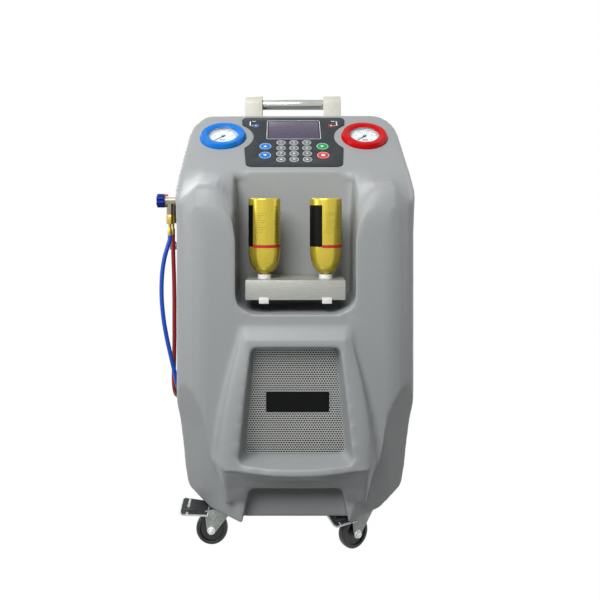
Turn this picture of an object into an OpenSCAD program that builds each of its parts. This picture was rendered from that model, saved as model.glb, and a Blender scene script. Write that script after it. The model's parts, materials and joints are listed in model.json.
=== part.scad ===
// Refrigerant recovery machine on casters
// Millimetres. +Z is up, the front faces -Y, and the floor is at z = 0.
// A depth is measured from the front plane of the cover towards the rear.

/* [Cover] */
// Width of the moulded cover
body_w = 560; // [540:5:600]
// Depth of the moulded cover
body_d = 520; // [510:5:560]
// Height of the flat top above the floor
top_z = 1060; // [1050:5:1090]
// Height of the cover's lower edge above the floor
cover_z = 90; // [90:1:94]
// Wall of the cover
wall = 5; // [4:0.5:6]
// Drop of the console plane from the flat top to the front plane
console_drop = 280; // [270:5:290]
// Slope of the console above the horizontal
console_tilt = 36; // [35:0.5:37]
// Radius where the console rolls into the front columns
column_round = 120; // [60:5:140]
// Radius of the front corners in plan
front_round = 80; // [50:5:100]
// Radius of the top corners seen from the front
shoulder_round = 60; // [40:5:80]
// Radius where the console meets the flat top, and of the bottom chamfer
brow_round = 20; // [10:5:30]
// Radius of the rear edges
rear_round = 4; // [2:0.5:4]
// Draw-in of the cover's side at its lower edge
foot_in = 84; // [76:1:86]
// Draw-in of the cover's side above the bottom chamfer
chine_in = 30; // [16:1:34]
// Height of the top of the bottom chamfer
chine_z = 127; // [122:1:135]
// Height where the sides start to taper inwards
taper_z = 350; // [300:10:400]

/* [Lower corner facets] */
// Distance of the two facets from the cover's side at their lower edge
facet_in = 90; // [80:1:90]
// Depth of the facets at their lower edge
facet_d = 67; // [60:1:70]
// Turn of a facet away from the side
facet_turn = 46; // [40:1:50]
// Lean of a facet towards the floor
facet_tilt = 14; // [10:1:18]

/* [Bottle recess] */
// Width of the recess
recess_w = 262; // [250:2:270]
// Depth of the recess
recess_d = 155; // [150:1:160]
// Height of the recess floor
recess_z = 568; // [566:1:575]
// Radius of the lower recess corners
recess_round = 45; // [20:5:60]

/* [Vent apron] */
// Height of the apron's upper edge
apron_z = 556; // [545:1:558]
// Width of the apron at its upper edge
apron_top_w = 288; // [280:2:296]
// Widest width of the apron, at the sill
apron_wide_w = 334; // [324:2:344]
// Width of the apron at its lower edge
apron_low_w = 324; // [314:2:330]
// Height of the apron's lower edge
apron_low_z = 140; // [130:1:150]
// Height of the rim above the vent
rim_z = 520; // [512:1:528]
// Width of the rim at its top
rim_top_w = 262; // [256:2:270]
// Width of the rim at the sill
rim_low_w = 294; // [284:2:304]
// Overhang of the rim at its top
rim_out = 12; // [8:1:16]
// Overhang of the sill
sill_out = 42; // [30:1:50]
// Extra overhang in the middle of the sill
sill_bow = 8; // [4:1:12]
// Height of the sill
sill_z = 236; // [232:1:238]
// Edge radius of the apron
apron_edge = 12; // [8:1:14]
// Depth of the seat that the vent screen lies on
vent_seat = 20; // [18:1:24]
// Width of the vent opening at its top
vent_top_w = 184; // [176:2:190]
// Width of the vent opening at its bottom
vent_low_w = 230; // [222:2:236]
// Height of the top of the vent opening
vent_top_z = 482; // [476:1:486]
// Height of the bottom of the vent opening
vent_low_z = 240; // [239:1:246]
// Widening of the vent opening towards the front
vent_flare = 17; // [12:1:20]
// Thickness of the vent screen
screen_t = 2; // [1.5:0.5:3]
// Edge of the screen behind the cover
screen_lap = 10; // [8:1:12]
// Pitch of the diamonds in the screen
screen_pitch = 17; // [16:1:22]
// Width of the metal between diamonds
screen_web = 4; // [3:0.5:6]

/* [Foot arch] */
// Height of the arch
arch_z = 165; // [155:1:170]
// Width of the arch at its top
arch_top_w = 204; // [196:2:212]
// Width of the arch at the floor side
arch_low_w = 242; // [236:2:250]
// Depth of the arch
arch_d = 34; // [30:1:36]

/* [Console] */
// Distance of the gauges from the middle
gauge_x = 190; // [186:1:194]
// Place of the gauges up the slope
gauge_v = 355; // [345:1:360]
// Diameter of a gauge bezel
bezel_dia = 125; // [120:1:128]
// Height of a gauge bezel
bezel_h = 13; // [10:1:16]
// Window in a gauge bezel
dial_dia = 77; // [70:1:80]
// Diameter of a gauge case
case_dia = 90; // [86:1:94]
// Depth of a gauge case behind the console
case_d = 36; // [30:1:40]
// Thickness of a gauge lens
lens_t = 1.6; // [1:0.2:2]
// Length of a needle from its axis
needle_l = 32; // [26:1:34]
// Length of a needle behind its axis
needle_tail = 8; // [6:1:10]
// Width of a needle at its tail
needle_w = 4; // [3:0.5:5]
// Thickness of a needle
needle_t = 1; // [0.8:0.1:1.2]
// Radius of a needle's hub
hub_r = 4; // [3:0.5:5]
// Height of a needle's hub
hub_h = 2.4; // [2:0.1:2.6]
// Radius of a needle's pin
pin_r = 1; // [0.8:0.1:1.2]
// Depth of a dial below its lens
dial_sink = 4.5; // [4.2:0.1:5]
// Width of the keypad plate at its top
pad_top_w = 290; // [286:2:296]
// Width of the keypad plate at its bottom
pad_low_w = 244; // [240:2:250]
// Top of the keypad plate up the slope
pad_top_v = 462; // [456:1:466]
// Bottom of the keypad plate up the slope
pad_low_v = 211; // [206:1:216]
// Clear ring round a gauge that the keypad plate leaves
pad_waist = 82; // [78:1:86]
// Depth that the keypad plate is let into the console
pad_sink = 3; // [2.5:0.5:3.5]
// Height of the keypad plate above the console
pad_h = 1.5; // [1:0.5:2]
// Width of the display window
lcd_w = 136; // [128:1:144]
// Height of the display window
lcd_h = 91; // [86:1:94]
// Middle of the display window up the slope
lcd_v = 394; // [392:1:398]
// Thickness of the display window
lcd_t = 2; // [1.5:0.5:2.5]
// Diameter of a digit key
key_dia = 25; // [22:1:26]
// Spacing of the digit keys across
key_pitch_x = 34; // [32:1:36]
// Spacing of the digit keys up the slope
key_pitch_v = 27.7; // [27.5:0.1:29]
// First row of digit keys up the slope
key_row_v = 325; // [322:1:328]
// Diameter of a side key
side_key_dia = 32; // [28:1:34]
// Distance of the side keys from the middle
side_key_x = 75; // [72:1:80]
// Upper side key up the slope
side_key_v = 306; // [300:1:312]
// Spacing of the side keys
side_key_pitch = 44; // [40:1:46]
// Travel of a key
key_travel = 0.5; // [0.3:0.1:0.6]

/* [Bottles] */
// Width of the bottle rack
rack_w = 229; // [220:1:236]
// Height of the bottle rack
rack_h = 45; // [40:1:50]
// Height of the rack's lower edge
rack_z = 591.5; // [588:0.5:596]
// Depth of the rack's front face
rack_front = 20; // [16:1:26]
// Sheet of the rack, hanger and rear panel
sheet = 2; // [1.5:0.5:3]
// Spacing of the two bottles
bottle_pitch = 144; // [138:1:150]
// Depth of the bottles behind the rack's front
bottle_set = 45; // [42:1:55]
// Diameter of a bottle
bottle_dia = 75; // [70:1:78]
// Height of a bottle without its neck
bottle_h = 175; // [165:1:185]
// Height of a bottle's shoulder
shoulder_h = 52; // [45:1:60]
// Diameter of a bottle's neck
neck_dia = 24; // [22:1:26]
// Length of a bottle's neck in its coupler
neck_l = 11; // [9:0.5:12]
// Step from a bottle's shoulder to its neck
neck_step = 2; // [1.5:0.5:3]
// Chamfer at a bottle's far end
bottle_edge = 3; // [2:0.5:4]
// Gap between a bottle's shoulder and its coupler
bottle_gap = 3; // [2:0.5:4]
// Height of a bottle coupler above the rack
socket_h = 10; // [9:1:12]
// Outer diameter of a bottle coupler
socket_dia = 32; // [31:1:36]
// Width of a coupler's release tab
tab_w = 22; // [18:1:26]
// Height of a coupler's release tab
tab_h = 14; // [12:1:18]
// Thickness of the arm that carries a release tab
tab_t = 4; // [3:0.5:5]

/* [Handle] */
// Diameter of the handle tube
tube_dia = 31; // [28:1:34]
// Height of the handle tube above the top
tube_rise = 45; // [42:1:55]
// Depth of the handle tube
tube_d = 486; // [480:1:490]
// Width over the two brackets
handle_w = 284; // [270:2:300]
// Width of one bracket
bracket_w = 52; // [46:1:58]
// Material round the tube in a bracket
bracket_rim = 10; // [8:1:12]
// Depth of a bracket's foot
bracket_foot = 56; // [52:1:60]

/* [Casters] */
// Distance of the caster swivels from the cover's side
caster_in = 115; // [114:1:120]
// Depth of the front swivels
caster_front = 92; // [90:1:100]
// Depth of the rear swivels
caster_rear = 440; // [420:1:445]
// Diameter of a wheel
wheel_dia = 75; // [74:1:76]
// Width of a wheel
wheel_w = 24; // [22:1:25]
// Distance of the wheel axle from the swivel
trail = 33; // [30:1:36]
// Diameter of an axle bolt
axle_dia = 8; // [6:1:10]
// Diameter of a kingpin
kingpin_dia = 12; // [10:1:14]
// Thickness of the fork legs
fork_t = 3; // [2.5:0.5:3.5]
// Gap between a fork leg and the wheel
fork_gap = 2; // [1.5:0.5:3]
// Height of the fork crown's top face
crown_z = 88; // [87.5:0.5:88.5]
// Thickness of a fork's crown
crown_t = 4; // [3:0.5:5]
// Radius of a fork's crown
crown_r = 20; // [18:1:22]
// Width of a fork leg at the crown
leg_w = 34; // [30:1:36]
// Rim round the axle in a fork leg
axle_rim = 6; // [5:0.5:7]
// Thickness of an axle bolt's head and nut
nut_t = 5; // [4:0.5:6]
// Thickness of a caster's top plate
plate_t = 3; // [2:0.5:4]
// Radius of a caster's top plate
plate_r = 25; // [22:1:26]
// Radius of a swivel race
race_r = 15; // [13:1:18]
// Rounding of a wheel's tread
tyre_edge = 4; // [3:0.5:5]
// Distance of a brake pedal's pin behind the axle
pivot_set = 11; // [9:1:12]
// Height of a brake pedal's pin above the wheel
pivot_rise = 4; // [4:0.25:4.5]
// Diameter of a brake pedal's pin
pedal_pin = 5; // [4:0.5:6]
// Thickness of a brake pedal's strip
pedal_t = 3; // [2:0.5:3]
// Upward slant of a brake pedal
pedal_lift = 5; // [4:0.5:5]
// Length of a brake pedal's tread
tread_l = 32; // [28:1:36]
// Height of a tread above its strip
tread_h = 2.5; // [1:0.5:2.5]
// Length of a brake pedal from its pivot
pedal_l = 56; // [50:1:60]
// Width of a brake pedal's tread
pedal_w = 40; // [36:1:44]

/* [Base and inside] */
// Height of the base tray's underside
tray_z = 100; // [100:0.5:102]
// Thickness of the base tray
tray_t = 3; // [2:0.5:4]
// Height of the tray's folded edge
tray_edge = 20; // [15:1:25]
// Gap between the base tray and the cover's lower edge
tray_gap = 4; // [3:0.5:6]
// Depth of the tray's front edge
tray_front = 46; // [44:1:50]
// Cut of the tray's front corners
tray_corner = 40; // [36:1:44]
// Width of the air slots in the rear panel
slot_w = 160; // [120:10:200]
// Height of an air slot
slot_h = 8; // [6:1:10]
// Number of air slots
slots = 10; // [6:1:12]
// Height of the lowest air slot
slot_z = 300; // [280:10:340]
// Distance of the mains inlet from the middle
inlet_x = 130; // [110:5:140]
// Height of the mains inlet
inlet_z = 190; // [180:5:220]
// Width of the mains inlet
inlet_w = 48; // [44:1:50]
// Height of the mains inlet's body
inlet_h = 28; // [26:1:30]
// Depth of the mains inlet's body
inlet_d = 22; // [20:1:24]
// Width of the mains inlet's flange and wall
inlet_lip = 5; // [4:0.5:6]
// Diameter of the refrigerant tank
tank_dia = 224; // [200:2:230]
// Height of the refrigerant tank
tank_h = 430; // [380:5:480]
// Depth of the tank's axis
tank_d = 364; // [362:1:370]
// Height of the weighing platform
scale_h = 28; // [24:1:36]
// Diameter of the compressor
comp_dia = 118; // [110:2:120]
// Height of the compressor
comp_h = 190; // [170:5:210]
// Distance of compressor and vacuum pump from the middle
pump_x = 124; // [122:1:126]
// Depth of compressor and vacuum pump
pump_d = 178; // [176:1:180]
// Width of the vacuum pump
pump_w = 110; // [100:2:116]
// Length of the vacuum pump
pump_l = 120; // [110:2:122]
// Drum radius of the vacuum pump
drum_r = 47; // [42:1:48]
// Height of the compressor's and the pump's foot
foot_h = 10; // [6:1:12]
// Width of the condenser
cond_w = 226; // [210:2:230]
// Height of the condenser's top above the floor
cond_top = 490; // [470:5:500]
// Gap between the foot arch and the condenser
cond_gap = 8; // [6:0.5:8]
// Thickness of the condenser block
cond_t = 32; // [28:1:34]
// Diameter of the fan
fan_dia = 196; // [180:2:200]
// Thickness of the fan
fan_t = 16; // [14:1:18]
// Distance of the fan behind the condenser
fan_set = 9; // [9:0.5:10]
// Radius of the fan's hub
fan_hub = 28; // [24:1:32]
// Chord of a fan blade
blade_w = 44; // [40:1:46]
// Pitch of the fan blades
blade_pitch = 28; // [24:1:30]
// Radius of the fan's shaft
shaft_r = 4; // [3:0.5:5]
// Width of the control board
board_w = 200; // [180:5:220]
// Height of the control board
board_h = 130; // [110:5:150]

/* [Hoses] */
// Diameter of a service hose
hose_dia = 12; // [11:0.5:12.5]
// Depth of the low-side coupler
low_d = 325; // [320:1:330]
// Depth of the high-side coupler
high_d = 375; // [370:1:380]
// Height of the coupler axes
coupler_z = 818; // [815:1:822]
// Distance of the hose ends from the cover's side
hose_out = 60; // [58:1:62]
// Length of the crimped ferrule on a hose
ferrule_l = 18; // [15:1:20]
// Length of the bare stem above a ferrule
stem_l = 14; // [12:1:16]
// Length of a coupler below its axis
outlet_l = 39; // [36:1:42]
// Radius of a coupler's body
coupler_r = 11; // [9:1:12]
// Length of a coupler's body on the knob side
coupler_out = 14; // [12:1:15]
// Length of a coupler's body on the socket side
coupler_in = 20; // [18:1:22]
// Wall of a coupler's socket
socket_wall = 6; // [5:0.5:7]
// Gap between a coupler's socket and the hanger's plate
socket_gap = 4; // [3:0.5:5]
// Reach of a knob from the hose axis
knob_in = 34; // [32:1:36]
// End wall of a knob
knob_end = 3; // [2.5:0.5:4]
// Radius of a knob's spindle
spindle_r = 4; // [3:0.5:5]
// Diameter of a coupler knob
knob_dia = 38; // [34:1:40]
// Diameter of the low-side parking stud
low_stud = 13; // [12:0.5:14]
// Diameter of the high-side parking stud
high_stud = 16; // [15:0.5:17]
// Depth of the hose saddle
saddle_d = 440; // [438:1:442]
// Height of the hose saddle's axis
saddle_z = 650; // [648:1:652]
// Outer radius of the hose saddle
saddle_r = 39; // [36:0.5:39.5]
// Reach of the hose saddle from the cover's side
saddle_out = 62; // [60:1:66]
// Thickness of the saddle's end stop
stop_t = 12; // [10:1:12]
// Rise of the end stop above the saddle
stop_h = 10; // [8:1:12]
// Margin of the hanger's plate round its studs
plate_rim = 24; // [22:1:28]

/* [Hidden] */
$fn = 48;
arc_steps = 6;
// Clearance of pieces that are let into one another
fit = 0.3;
// Radial clearance of a running fit
run = 0.05;
// Overlap of a cutting body past the face it cuts
over = 1;
front_y = -body_d / 2;
side_x = body_w / 2;
foot_x = side_x - foot_in;
caster_x = side_x - caster_in;
facet_x = side_x - facet_in;
tray_w = 2 * (foot_x - tray_gap);
reach = 2 * top_z;
console_z = top_z - console_drop;
console_run = console_drop / tan(console_tilt);
facet_z = cover_z + over;
rack_top = rack_z + rack_h;
bottle_d = rack_front + bottle_set;
bottle_z = rack_top + socket_h + bottle_gap;
axle_z = wheel_dia / 2;
fork_in = wheel_w / 2 + fork_gap;
pivot_x = trail + pivot_set;
pivot_z = wheel_dia + pivot_rise;
tray_top = tray_z + tray_t;
rear_d = body_d - wall;
hose_x = -side_x - hose_out;

// Depth behind the front plane as a y coordinate
function dy(d) = front_y + d;
// A route point given as x, depth and height
function place(p) = [p[0], dy(p[1]), p[2]];
function unit(v) = v / norm(v);

// Arc that rounds the corner at p between a and b
function corner(a, p, b, r) =
    let (ua = unit(a - p), ub = unit(b - p), half = acos(ua * ub) / 2)
    let (centre = p + unit(ua + ub) * r / sin(half))
    let (from = p + ua * r / tan(half) - centre, to = p + ub * r / tan(half) - centre)
    [for (i = [0 : arc_steps]) centre + r * unit(from * (1 - i / arc_steps) + to * i / arc_steps)];

// Outline of [x, y, radius] points with each corner rounded by its own radius
function rounded(pts) = [for (i = [0 : len(pts) - 1])
    let (n = len(pts), p = pts[i], a = pts[(i + n - 1) % n], b = pts[(i + 1) % n])
    for (q = p[2] > 0 ? corner([a[0], a[1]], [p[0], p[1]], [b[0], b[1]], p[2]) : [[p[0], p[1]]]) q];

// Symmetric outline from its right half, listed upwards
function both_sides(pts) = concat(
    pts,
    [for (i = [len(pts) - 1 : -1 : 0]) [-pts[i][0], pts[i][1], pts[i][2]]]);

// Tube of round section swept through the points of a route
module swept_tube(pts, r, sides = 8) {
    last = len(pts) - 1;
    rings = [for (i = [0 : last])
        let (t = unit(pts[min(i + 1, last)] - pts[max(i - 1, 0)]))
        let (u = unit(cross(t, [1, 0, 0.01])), v = cross(t, u))
        for (k = [0 : sides - 1]) pts[i] + r * (cos(360 * k / sides) * u + sin(360 * k / sides) * v)];
    walls = [for (i = [0 : last - 1], k = [0 : sides - 1])
        let (a = i * sides, b = a + sides, next = (k + 1) % sides)
        [a + k, a + next, b + next, b + k]];
    caps = [[for (k = [sides - 1 : -1 : 0]) k], [for (k = [0 : sides - 1]) last * sides + k]];
    polyhedron(rings, concat(walls, caps));
}

module along_x(length) rotate([90, 0, 90]) linear_extrude(length, center = true) children();

// Extrusion from one depth to another of an outline in x and z
module along_y(from, to) translate([0, dy(to), 0]) rotate([90, 0, 0]) linear_extrude(to - from) children();

module rod_x(from, to, r) translate([from, 0, 0]) rotate([0, 90, 0]) cylinder(h = to - from, r = r);

module rod_y(from, to, r) translate([0, to, 0]) rotate([90, 0, 0]) cylinder(h = to - from, r = r);

// Places a piece on the console: x across, v up the slope, w out of it
module on_console(x = 0, v = 0, w = 0) {
    translate([0, front_y, console_z]) rotate([console_tilt, 0, 0]) translate([x, v, w]) children();
}

// Cover
module side_outline() polygon(rounded([
    [front_y, cover_z, 0],
    [front_y, console_z, column_round],
    [front_y + console_run, top_z, brow_round],
    [body_d / 2, top_z, rear_round],
    [body_d / 2, cover_z, 0]]));

// Seen from the front, with a skirt below the lower edge where the inside has to run out of it
module front_outline(skirt = 0) polygon(rounded(both_sides(concat(
    skirt > 0 ? [[foot_x, cover_z - skirt, 0]] : [],
    [[foot_x, cover_z, 0],
    [side_x - chine_in, chine_z, brow_round],
    [side_x, taper_z, front_round],
    [side_x, top_z, shoulder_round]]))));

module plan_outline() polygon(rounded([
    [side_x, front_y, front_round],
    [side_x, body_d / 2, rear_round],
    [-side_x, body_d / 2, rear_round],
    [-side_x, front_y, front_round]]));

// Outline drawn in by the wall and run out past the open edges
module drawn_in(inset, shifts) {
    if (inset == 0)
        children();
    else
        for (s = shifts) translate(s * 2 * inset) offset(delta = -inset) children();
}

module corner_cut(side, inset) {
    mirror([side > 0 ? 1 : 0, 0, 0])
        translate([-facet_x, dy(facet_d), facet_z]) rotate([0, facet_tilt, 180 + facet_turn])
            translate([-inset, -body_w, -body_w]) cube(2 * body_w);
}

// Outer form of the cover, or its inside at the given inset, open below and behind
module cover_form(inset = 0) {
    difference() {
        intersection() {
            along_x(reach) drawn_in(inset, [[0, 0], [1, 0], [0, -1], [1, -1]]) side_outline();
            along_y(-reach, reach) offset(delta = -inset) front_outline(4 * inset);
            linear_extrude(reach) drawn_in(inset, [[0, 0], [0, 1]]) plan_outline();
        }
        for (side = [-1, 1]) corner_cut(side, inset);
    }
}

module recess_space(grow = 0) {
    along_y(-reach, recess_d + grow) polygon(rounded(both_sides([
        [recess_w / 2 + grow, recess_z - grow, recess_round],
        [recess_w / 2 + grow, top_z + reach, 0]])));
}

module arch_space(grow = 0) {
    along_y(-reach, arch_d + grow) polygon(rounded(both_sides([
        [arch_low_w / 2 + grow, cover_z - over, 0],
        [arch_top_w / 2 + grow, arch_z + grow, apron_edge]])));
}

// Raised frame round the vent, rolled at its edges, with the sill at its foot,
// or its inside at the given inset, open to the rear
module apron_form(inset = 0) {
    e = apron_edge;
    back = inset > 0 ? vent_seat : vent_seat - e;
    hull() {
        for (s = [-1, 1], p = [
            [apron_top_w / 2 - e, back, apron_z - e],
            [apron_wide_w / 2 - e, back, sill_z],
            [apron_low_w / 2 - e, back, apron_low_z],
            [rim_top_w / 2 - e, e - rim_out, rim_z - e],
            [rim_low_w / 2 - e, e - sill_out, sill_z - e],
            [rim_low_w / 6, e - sill_out - sill_bow, sill_z - e]])
            translate(place([s * p[0], p[1], p[2]])) sphere(e - inset, $fn = 20);
    }
}

// Tapered tunnel through the apron that widens to the front, or its outside with a wall
module vent_tunnel(grow = 0) {
    mouth_d = -sill_out - sill_bow - apron_edge;
    hull() {
        along_y(vent_seat, vent_seat + screen_t + over) vent_outline(0, grow);
        along_y(mouth_d - over, mouth_d) vent_outline(vent_flare, grow);
    }
}

module vent_outline(flare, grow) polygon(rounded(both_sides([
    [vent_low_w / 2 + flare + grow, vent_low_z - grow, apron_edge],
    [vent_top_w / 2 + flare + grow, vent_top_z + flare + grow, apron_edge]])));

module front_cover() {
    color("#9da2a6") difference() {
        union() {
            difference() {
                union() {
                    difference() {
                        cover_form();
                        cover_form(wall);
                    }
                    apron_form();
                }
                difference() {
                    apron_form(wall);
                    vent_tunnel(wall);
                }
            }
            intersection() {
                union() {
                    recess_space(wall);
                    arch_space(wall);
                }
                cover_form();
            }
        }
        recess_space();
        arch_space();
        vent_tunnel();
        on_console(w = -pad_sink) linear_extrude(reach) pad_outline(fit);
        for (s = [-1, 1]) on_console(s * gauge_x, gauge_v, -reach / 2)
            cylinder(h = reach, d = case_dia + 2 * fit);
    }
}

// Console plate, display and keys
module pad_outline(grow) {
    difference() {
        polygon(rounded(both_sides([
            [pad_low_w / 2 + grow, pad_low_v - grow, front_round / 5],
            [pad_top_w / 2 + grow, pad_top_v + grow, front_round / 5]])));
        for (s = [-1, 1]) translate([s * gauge_x, gauge_v]) circle(pad_waist - grow);
    }
}

KEYS = concat(
    [for (row = [0 : 3], col = [-1 : 1]) [col * key_pitch_x, key_row_v - row * key_pitch_v, key_dia]],
    [for (s = [-1, 1], row = [0, 1]) [s * side_key_x, side_key_v - row * side_key_pitch, side_key_dia]]);
KEY_NAMES = ["key_1", "key_2", "key_3", "key_4", "key_5", "key_6", "key_7", "key_8", "key_9",
    "key_left", "key_0", "key_right", "key_up", "key_down", "key_start", "key_stop"];
KEY_COLOURS = ["#0a78d8", "#0a78d8", "#159a4e", "#e0413c"];
key_well = -pad_sink / 2;

module keypad_plate() {
    color("#3c3f42") difference() {
        on_console(w = -pad_sink) linear_extrude(pad_sink + pad_h) pad_outline(0);
        on_console(-lcd_w / 2 - fit, lcd_v - lcd_h / 2 - fit, pad_h - lcd_t)
            cube([lcd_w + 2 * fit, lcd_h + 2 * fit, reach]);
        for (k = KEYS) on_console(k[0], k[1], key_well) cylinder(h = reach, d = k[2] + 2 * fit);
    }
}

module lcd_window() {
    color("#645d6e") on_console(-lcd_w / 2, lcd_v - lcd_h / 2, pad_h - lcd_t) cube([lcd_w, lcd_h, lcd_t]);
}

module key(i) {
    h = pad_h - key_well;
    color(i < 12 ? "#c9cbcc" : KEY_COLOURS[i - 12])
        on_console(KEYS[i][0], KEYS[i][1], key_well + key_travel + run) cylinder(h = h, d = KEYS[i][2]);
}

// Gauges
lens_w = bezel_h / 2;
dial_w = lens_w - dial_sink;

module bezel(s) {
    r = bezel_dia / 2;
    lip = lens_w + lens_t;
    on_console(s * gauge_x, gauge_v) rotate_extrude() polygon([
        [case_dia / 2 + fit, 0],
        [r, 0],
        [r, bezel_h / 4],
        [r - bezel_h / 3, bezel_h],
        [dial_dia / 2 + bezel_h / 2, bezel_h],
        [dial_dia / 2, lip + fit + over],
        [dial_dia / 2, lip + fit],
        [case_dia / 2 + fit, lip + fit]]);
}

module gauge_ring_low() color("#0686f5") bezel(-1);

module gauge_ring_high() color("#db0104") bezel(1);

module gauge_cases() {
    color("#d8dadb") for (s = [-1, 1]) on_console(s * gauge_x, gauge_v) {
        difference() {
            translate([0, 0, -case_d]) cylinder(h = case_d + lens_w, d = case_dia);
            translate([0, 0, dial_w]) cylinder(h = case_d, d = case_dia - 2 * sheet);
        }
        translate([0, 0, dial_w]) cylinder(h = dial_sink - over, r = pin_r);
    }
}

module gauge_lenses() {
    color("#dfe8ec", 0.5) for (s = [-1, 1]) on_console(s * gauge_x, gauge_v, lens_w)
        cylinder(h = lens_t, d = case_dia);
}

// Needle on its pin, pointing at the low end of the scale
module needle(s) {
    tip = needle_w / 8;
    color("#202224") on_console(s * gauge_x, gauge_v, dial_w + fit) rotate([0, 0, 225]) difference() {
        union() {
            cylinder(h = hub_h, r = hub_r);
            linear_extrude(needle_t) polygon([
                [-needle_tail, needle_w / 2],
                [-needle_tail, -needle_w / 2],
                [needle_l, -tip],
                [needle_l, tip]]);
        }
        translate([0, 0, -over]) cylinder(h = hub_h + 2 * over, r = pin_r + run);
    }
}

module needle_low() needle(-1);

module needle_high() needle(1);

// Bottle rack, bottles and couplers
module bottle_rack() {
    rack_d = recess_d - rack_front;
    color("#a1a49b") translate([-rack_w / 2, dy(rack_front), rack_z]) difference() {
        cube([rack_w, rack_d, rack_h]);
        translate([sheet, sheet, -sheet]) cube([rack_w - 2 * sheet, rack_d - 2 * sheet, rack_h]);
        for (s = [-1, 1]) translate([rack_w / 2 + s * bottle_pitch / 2, bottle_set, -over])
            cylinder(h = reach, d = neck_dia);
    }
}

module bottle(s) {
    r = bottle_dia / 2;
    n = neck_dia / 2;
    shoulder = [for (i = [0 : arc_steps]) let (a = 90 * i / arc_steps)
        [n + (r - n) * sin(a), shoulder_h * (1 - cos(a))]];
    outline = concat(
        [[0, -neck_l], [n - neck_step, -neck_l], [n - neck_step, 0]],
        shoulder,
        [[r, bottle_h - bottle_edge], [r - bottle_edge, bottle_h], [0, bottle_h]]);
    color("#d6c25e") translate([s * bottle_pitch / 2, dy(bottle_d), bottle_z])
        rotate_extrude() polygon(outline);
}

module oil_bottle_left() bottle(-1);

module oil_bottle_right() bottle(1);

// Socket on the rack, its spigot through the sheet and the release tab below the front edge
module bottle_couplers() {
    color("#e8e9e6") for (s = [-1, 1]) translate([s * bottle_pitch / 2, dy(bottle_d), 0]) {
        difference() {
            union() {
                translate([0, 0, rack_top]) cylinder(h = socket_h, d = socket_dia);
                translate([0, 0, rack_z - tab_t]) cylinder(h = rack_h + tab_t, d = neck_dia - 2 * run);
                translate([-tab_w / 2, -bottle_set - sheet, rack_z - 2 * tab_t]) {
                    cube([tab_w, bottle_set + sheet, tab_t]);
                    cube([tab_w, sheet - run, tab_h]);
                }
            }
            translate([0, 0, bottle_z - neck_l - fit])
                cylinder(h = reach, d = neck_dia - 2 * neck_step + 2 * run);
        }
    }
}

// Vent screen of stretched diamonds behind the apron
module vent_grille() {
    low_x = vent_low_w / 2;
    rows = floor((vent_top_z - vent_low_z) / screen_pitch);
    color("#b9bcba") along_y(vent_seat, vent_seat + screen_t) difference() {
        polygon(both_sides([
            [low_x + screen_lap, vent_low_z - screen_lap, 0],
            [vent_top_w / 2 + screen_lap, vent_top_z + screen_lap, 0]])
            * [[1, 0], [0, 1], [0, 0]]);
        for (row = [0 : rows - 1]) {
            z = vent_low_z + (row + 0.5) * screen_pitch;
            half = low_x + (vent_top_w / 2 - low_x) * (row + 0.5) / rows - screen_pitch / 2;
            count = floor(half / screen_pitch);
            for (i = [-count : count]) translate([i * screen_pitch, z])
                circle(d = screen_pitch - screen_web, $fn = 4);
        }
    }
}

// Handle
module bracket_outline() {
    hull() {
        translate([dy(tube_d), top_z + tube_rise]) circle(tube_dia / 2 + bracket_rim, $fn = 32);
        translate([dy(tube_d) - bracket_foot / 2, top_z]) square([bracket_foot, bracket_rim]);
    }
}

module handle_brackets() {
    color("#e9e8e2") difference() {
        for (s = [-1, 1]) translate([s * (handle_w - bracket_w) / 2, 0, 0])
            along_x(bracket_w) bracket_outline();
        translate([0, dy(tube_d), top_z + tube_rise])
            rod_x(-handle_w / 2 + bracket_rim, handle_w / 2 - bracket_rim, tube_dia / 2 + run);
    }
}

module handle_tube() {
    end = handle_w / 2 - bracket_rim - fit;
    color("#d9dcdd") translate([0, dy(tube_d), top_z + tube_rise]) difference() {
        rod_x(-end, end, tube_dia / 2);
        rod_x(-end - over, end + over, tube_dia / 2 - sheet);
    }
}

// Base tray and rear panel
module tray_outline() polygon(rounded(both_sides([
    [tray_w / 2 - tray_corner, dy(tray_front), 0],
    [tray_w / 2, dy(tray_front + tray_corner), 0],
    [tray_w / 2, dy(rear_d), 0]])));

module base_tray() {
    color("#4a4e4d") translate([0, 0, tray_z]) {
        linear_extrude(tray_t) tray_outline();
        linear_extrude(tray_edge) difference() {
            tray_outline();
            offset(delta = -tray_t) tray_outline();
        }
    }
}

// Panel inside the cover's rear edge, with a field of air slots
module rear_panel() {
    color("#4f5352") difference() {
        along_y(rear_d, rear_d + sheet) offset(delta = -wall - fit) front_outline();
        for (i = [0 : slots - 1]) translate([-slot_w / 2, dy(rear_d) - over, slot_z + i * 3 * slot_h])
            cube([slot_w, reach, slot_h]);
        inlet_block(fit, sheet + over);
    }
}

// Body of the mains inlet, from inside the rear panel to the given distance behind it
module inlet_block(grow, back) {
    translate([inlet_x - inlet_w / 2 - grow, dy(rear_d - inlet_d), inlet_z - inlet_h / 2 - grow])
        cube([inlet_w + 2 * grow, inlet_d + back, inlet_h + 2 * grow]);
}

// Mains inlet with its flange on the rear panel and its socket open to the rear
module power_inlet() {
    lip = inlet_lip;
    color("#1b1c1d") difference() {
        union() {
            inlet_block(0, sheet);
            translate([inlet_x - inlet_w / 2 - lip, dy(rear_d) + sheet, inlet_z - inlet_h / 2 - lip])
                cube([inlet_w + 2 * lip, sheet, inlet_h + 2 * lip]);
        }
        translate([inlet_x - inlet_w / 2 + lip, dy(rear_d - inlet_d) + lip, inlet_z - inlet_h / 2 + lip])
            cube([inlet_w - 2 * lip, reach, inlet_h - 2 * lip]);
    }
}

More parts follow.
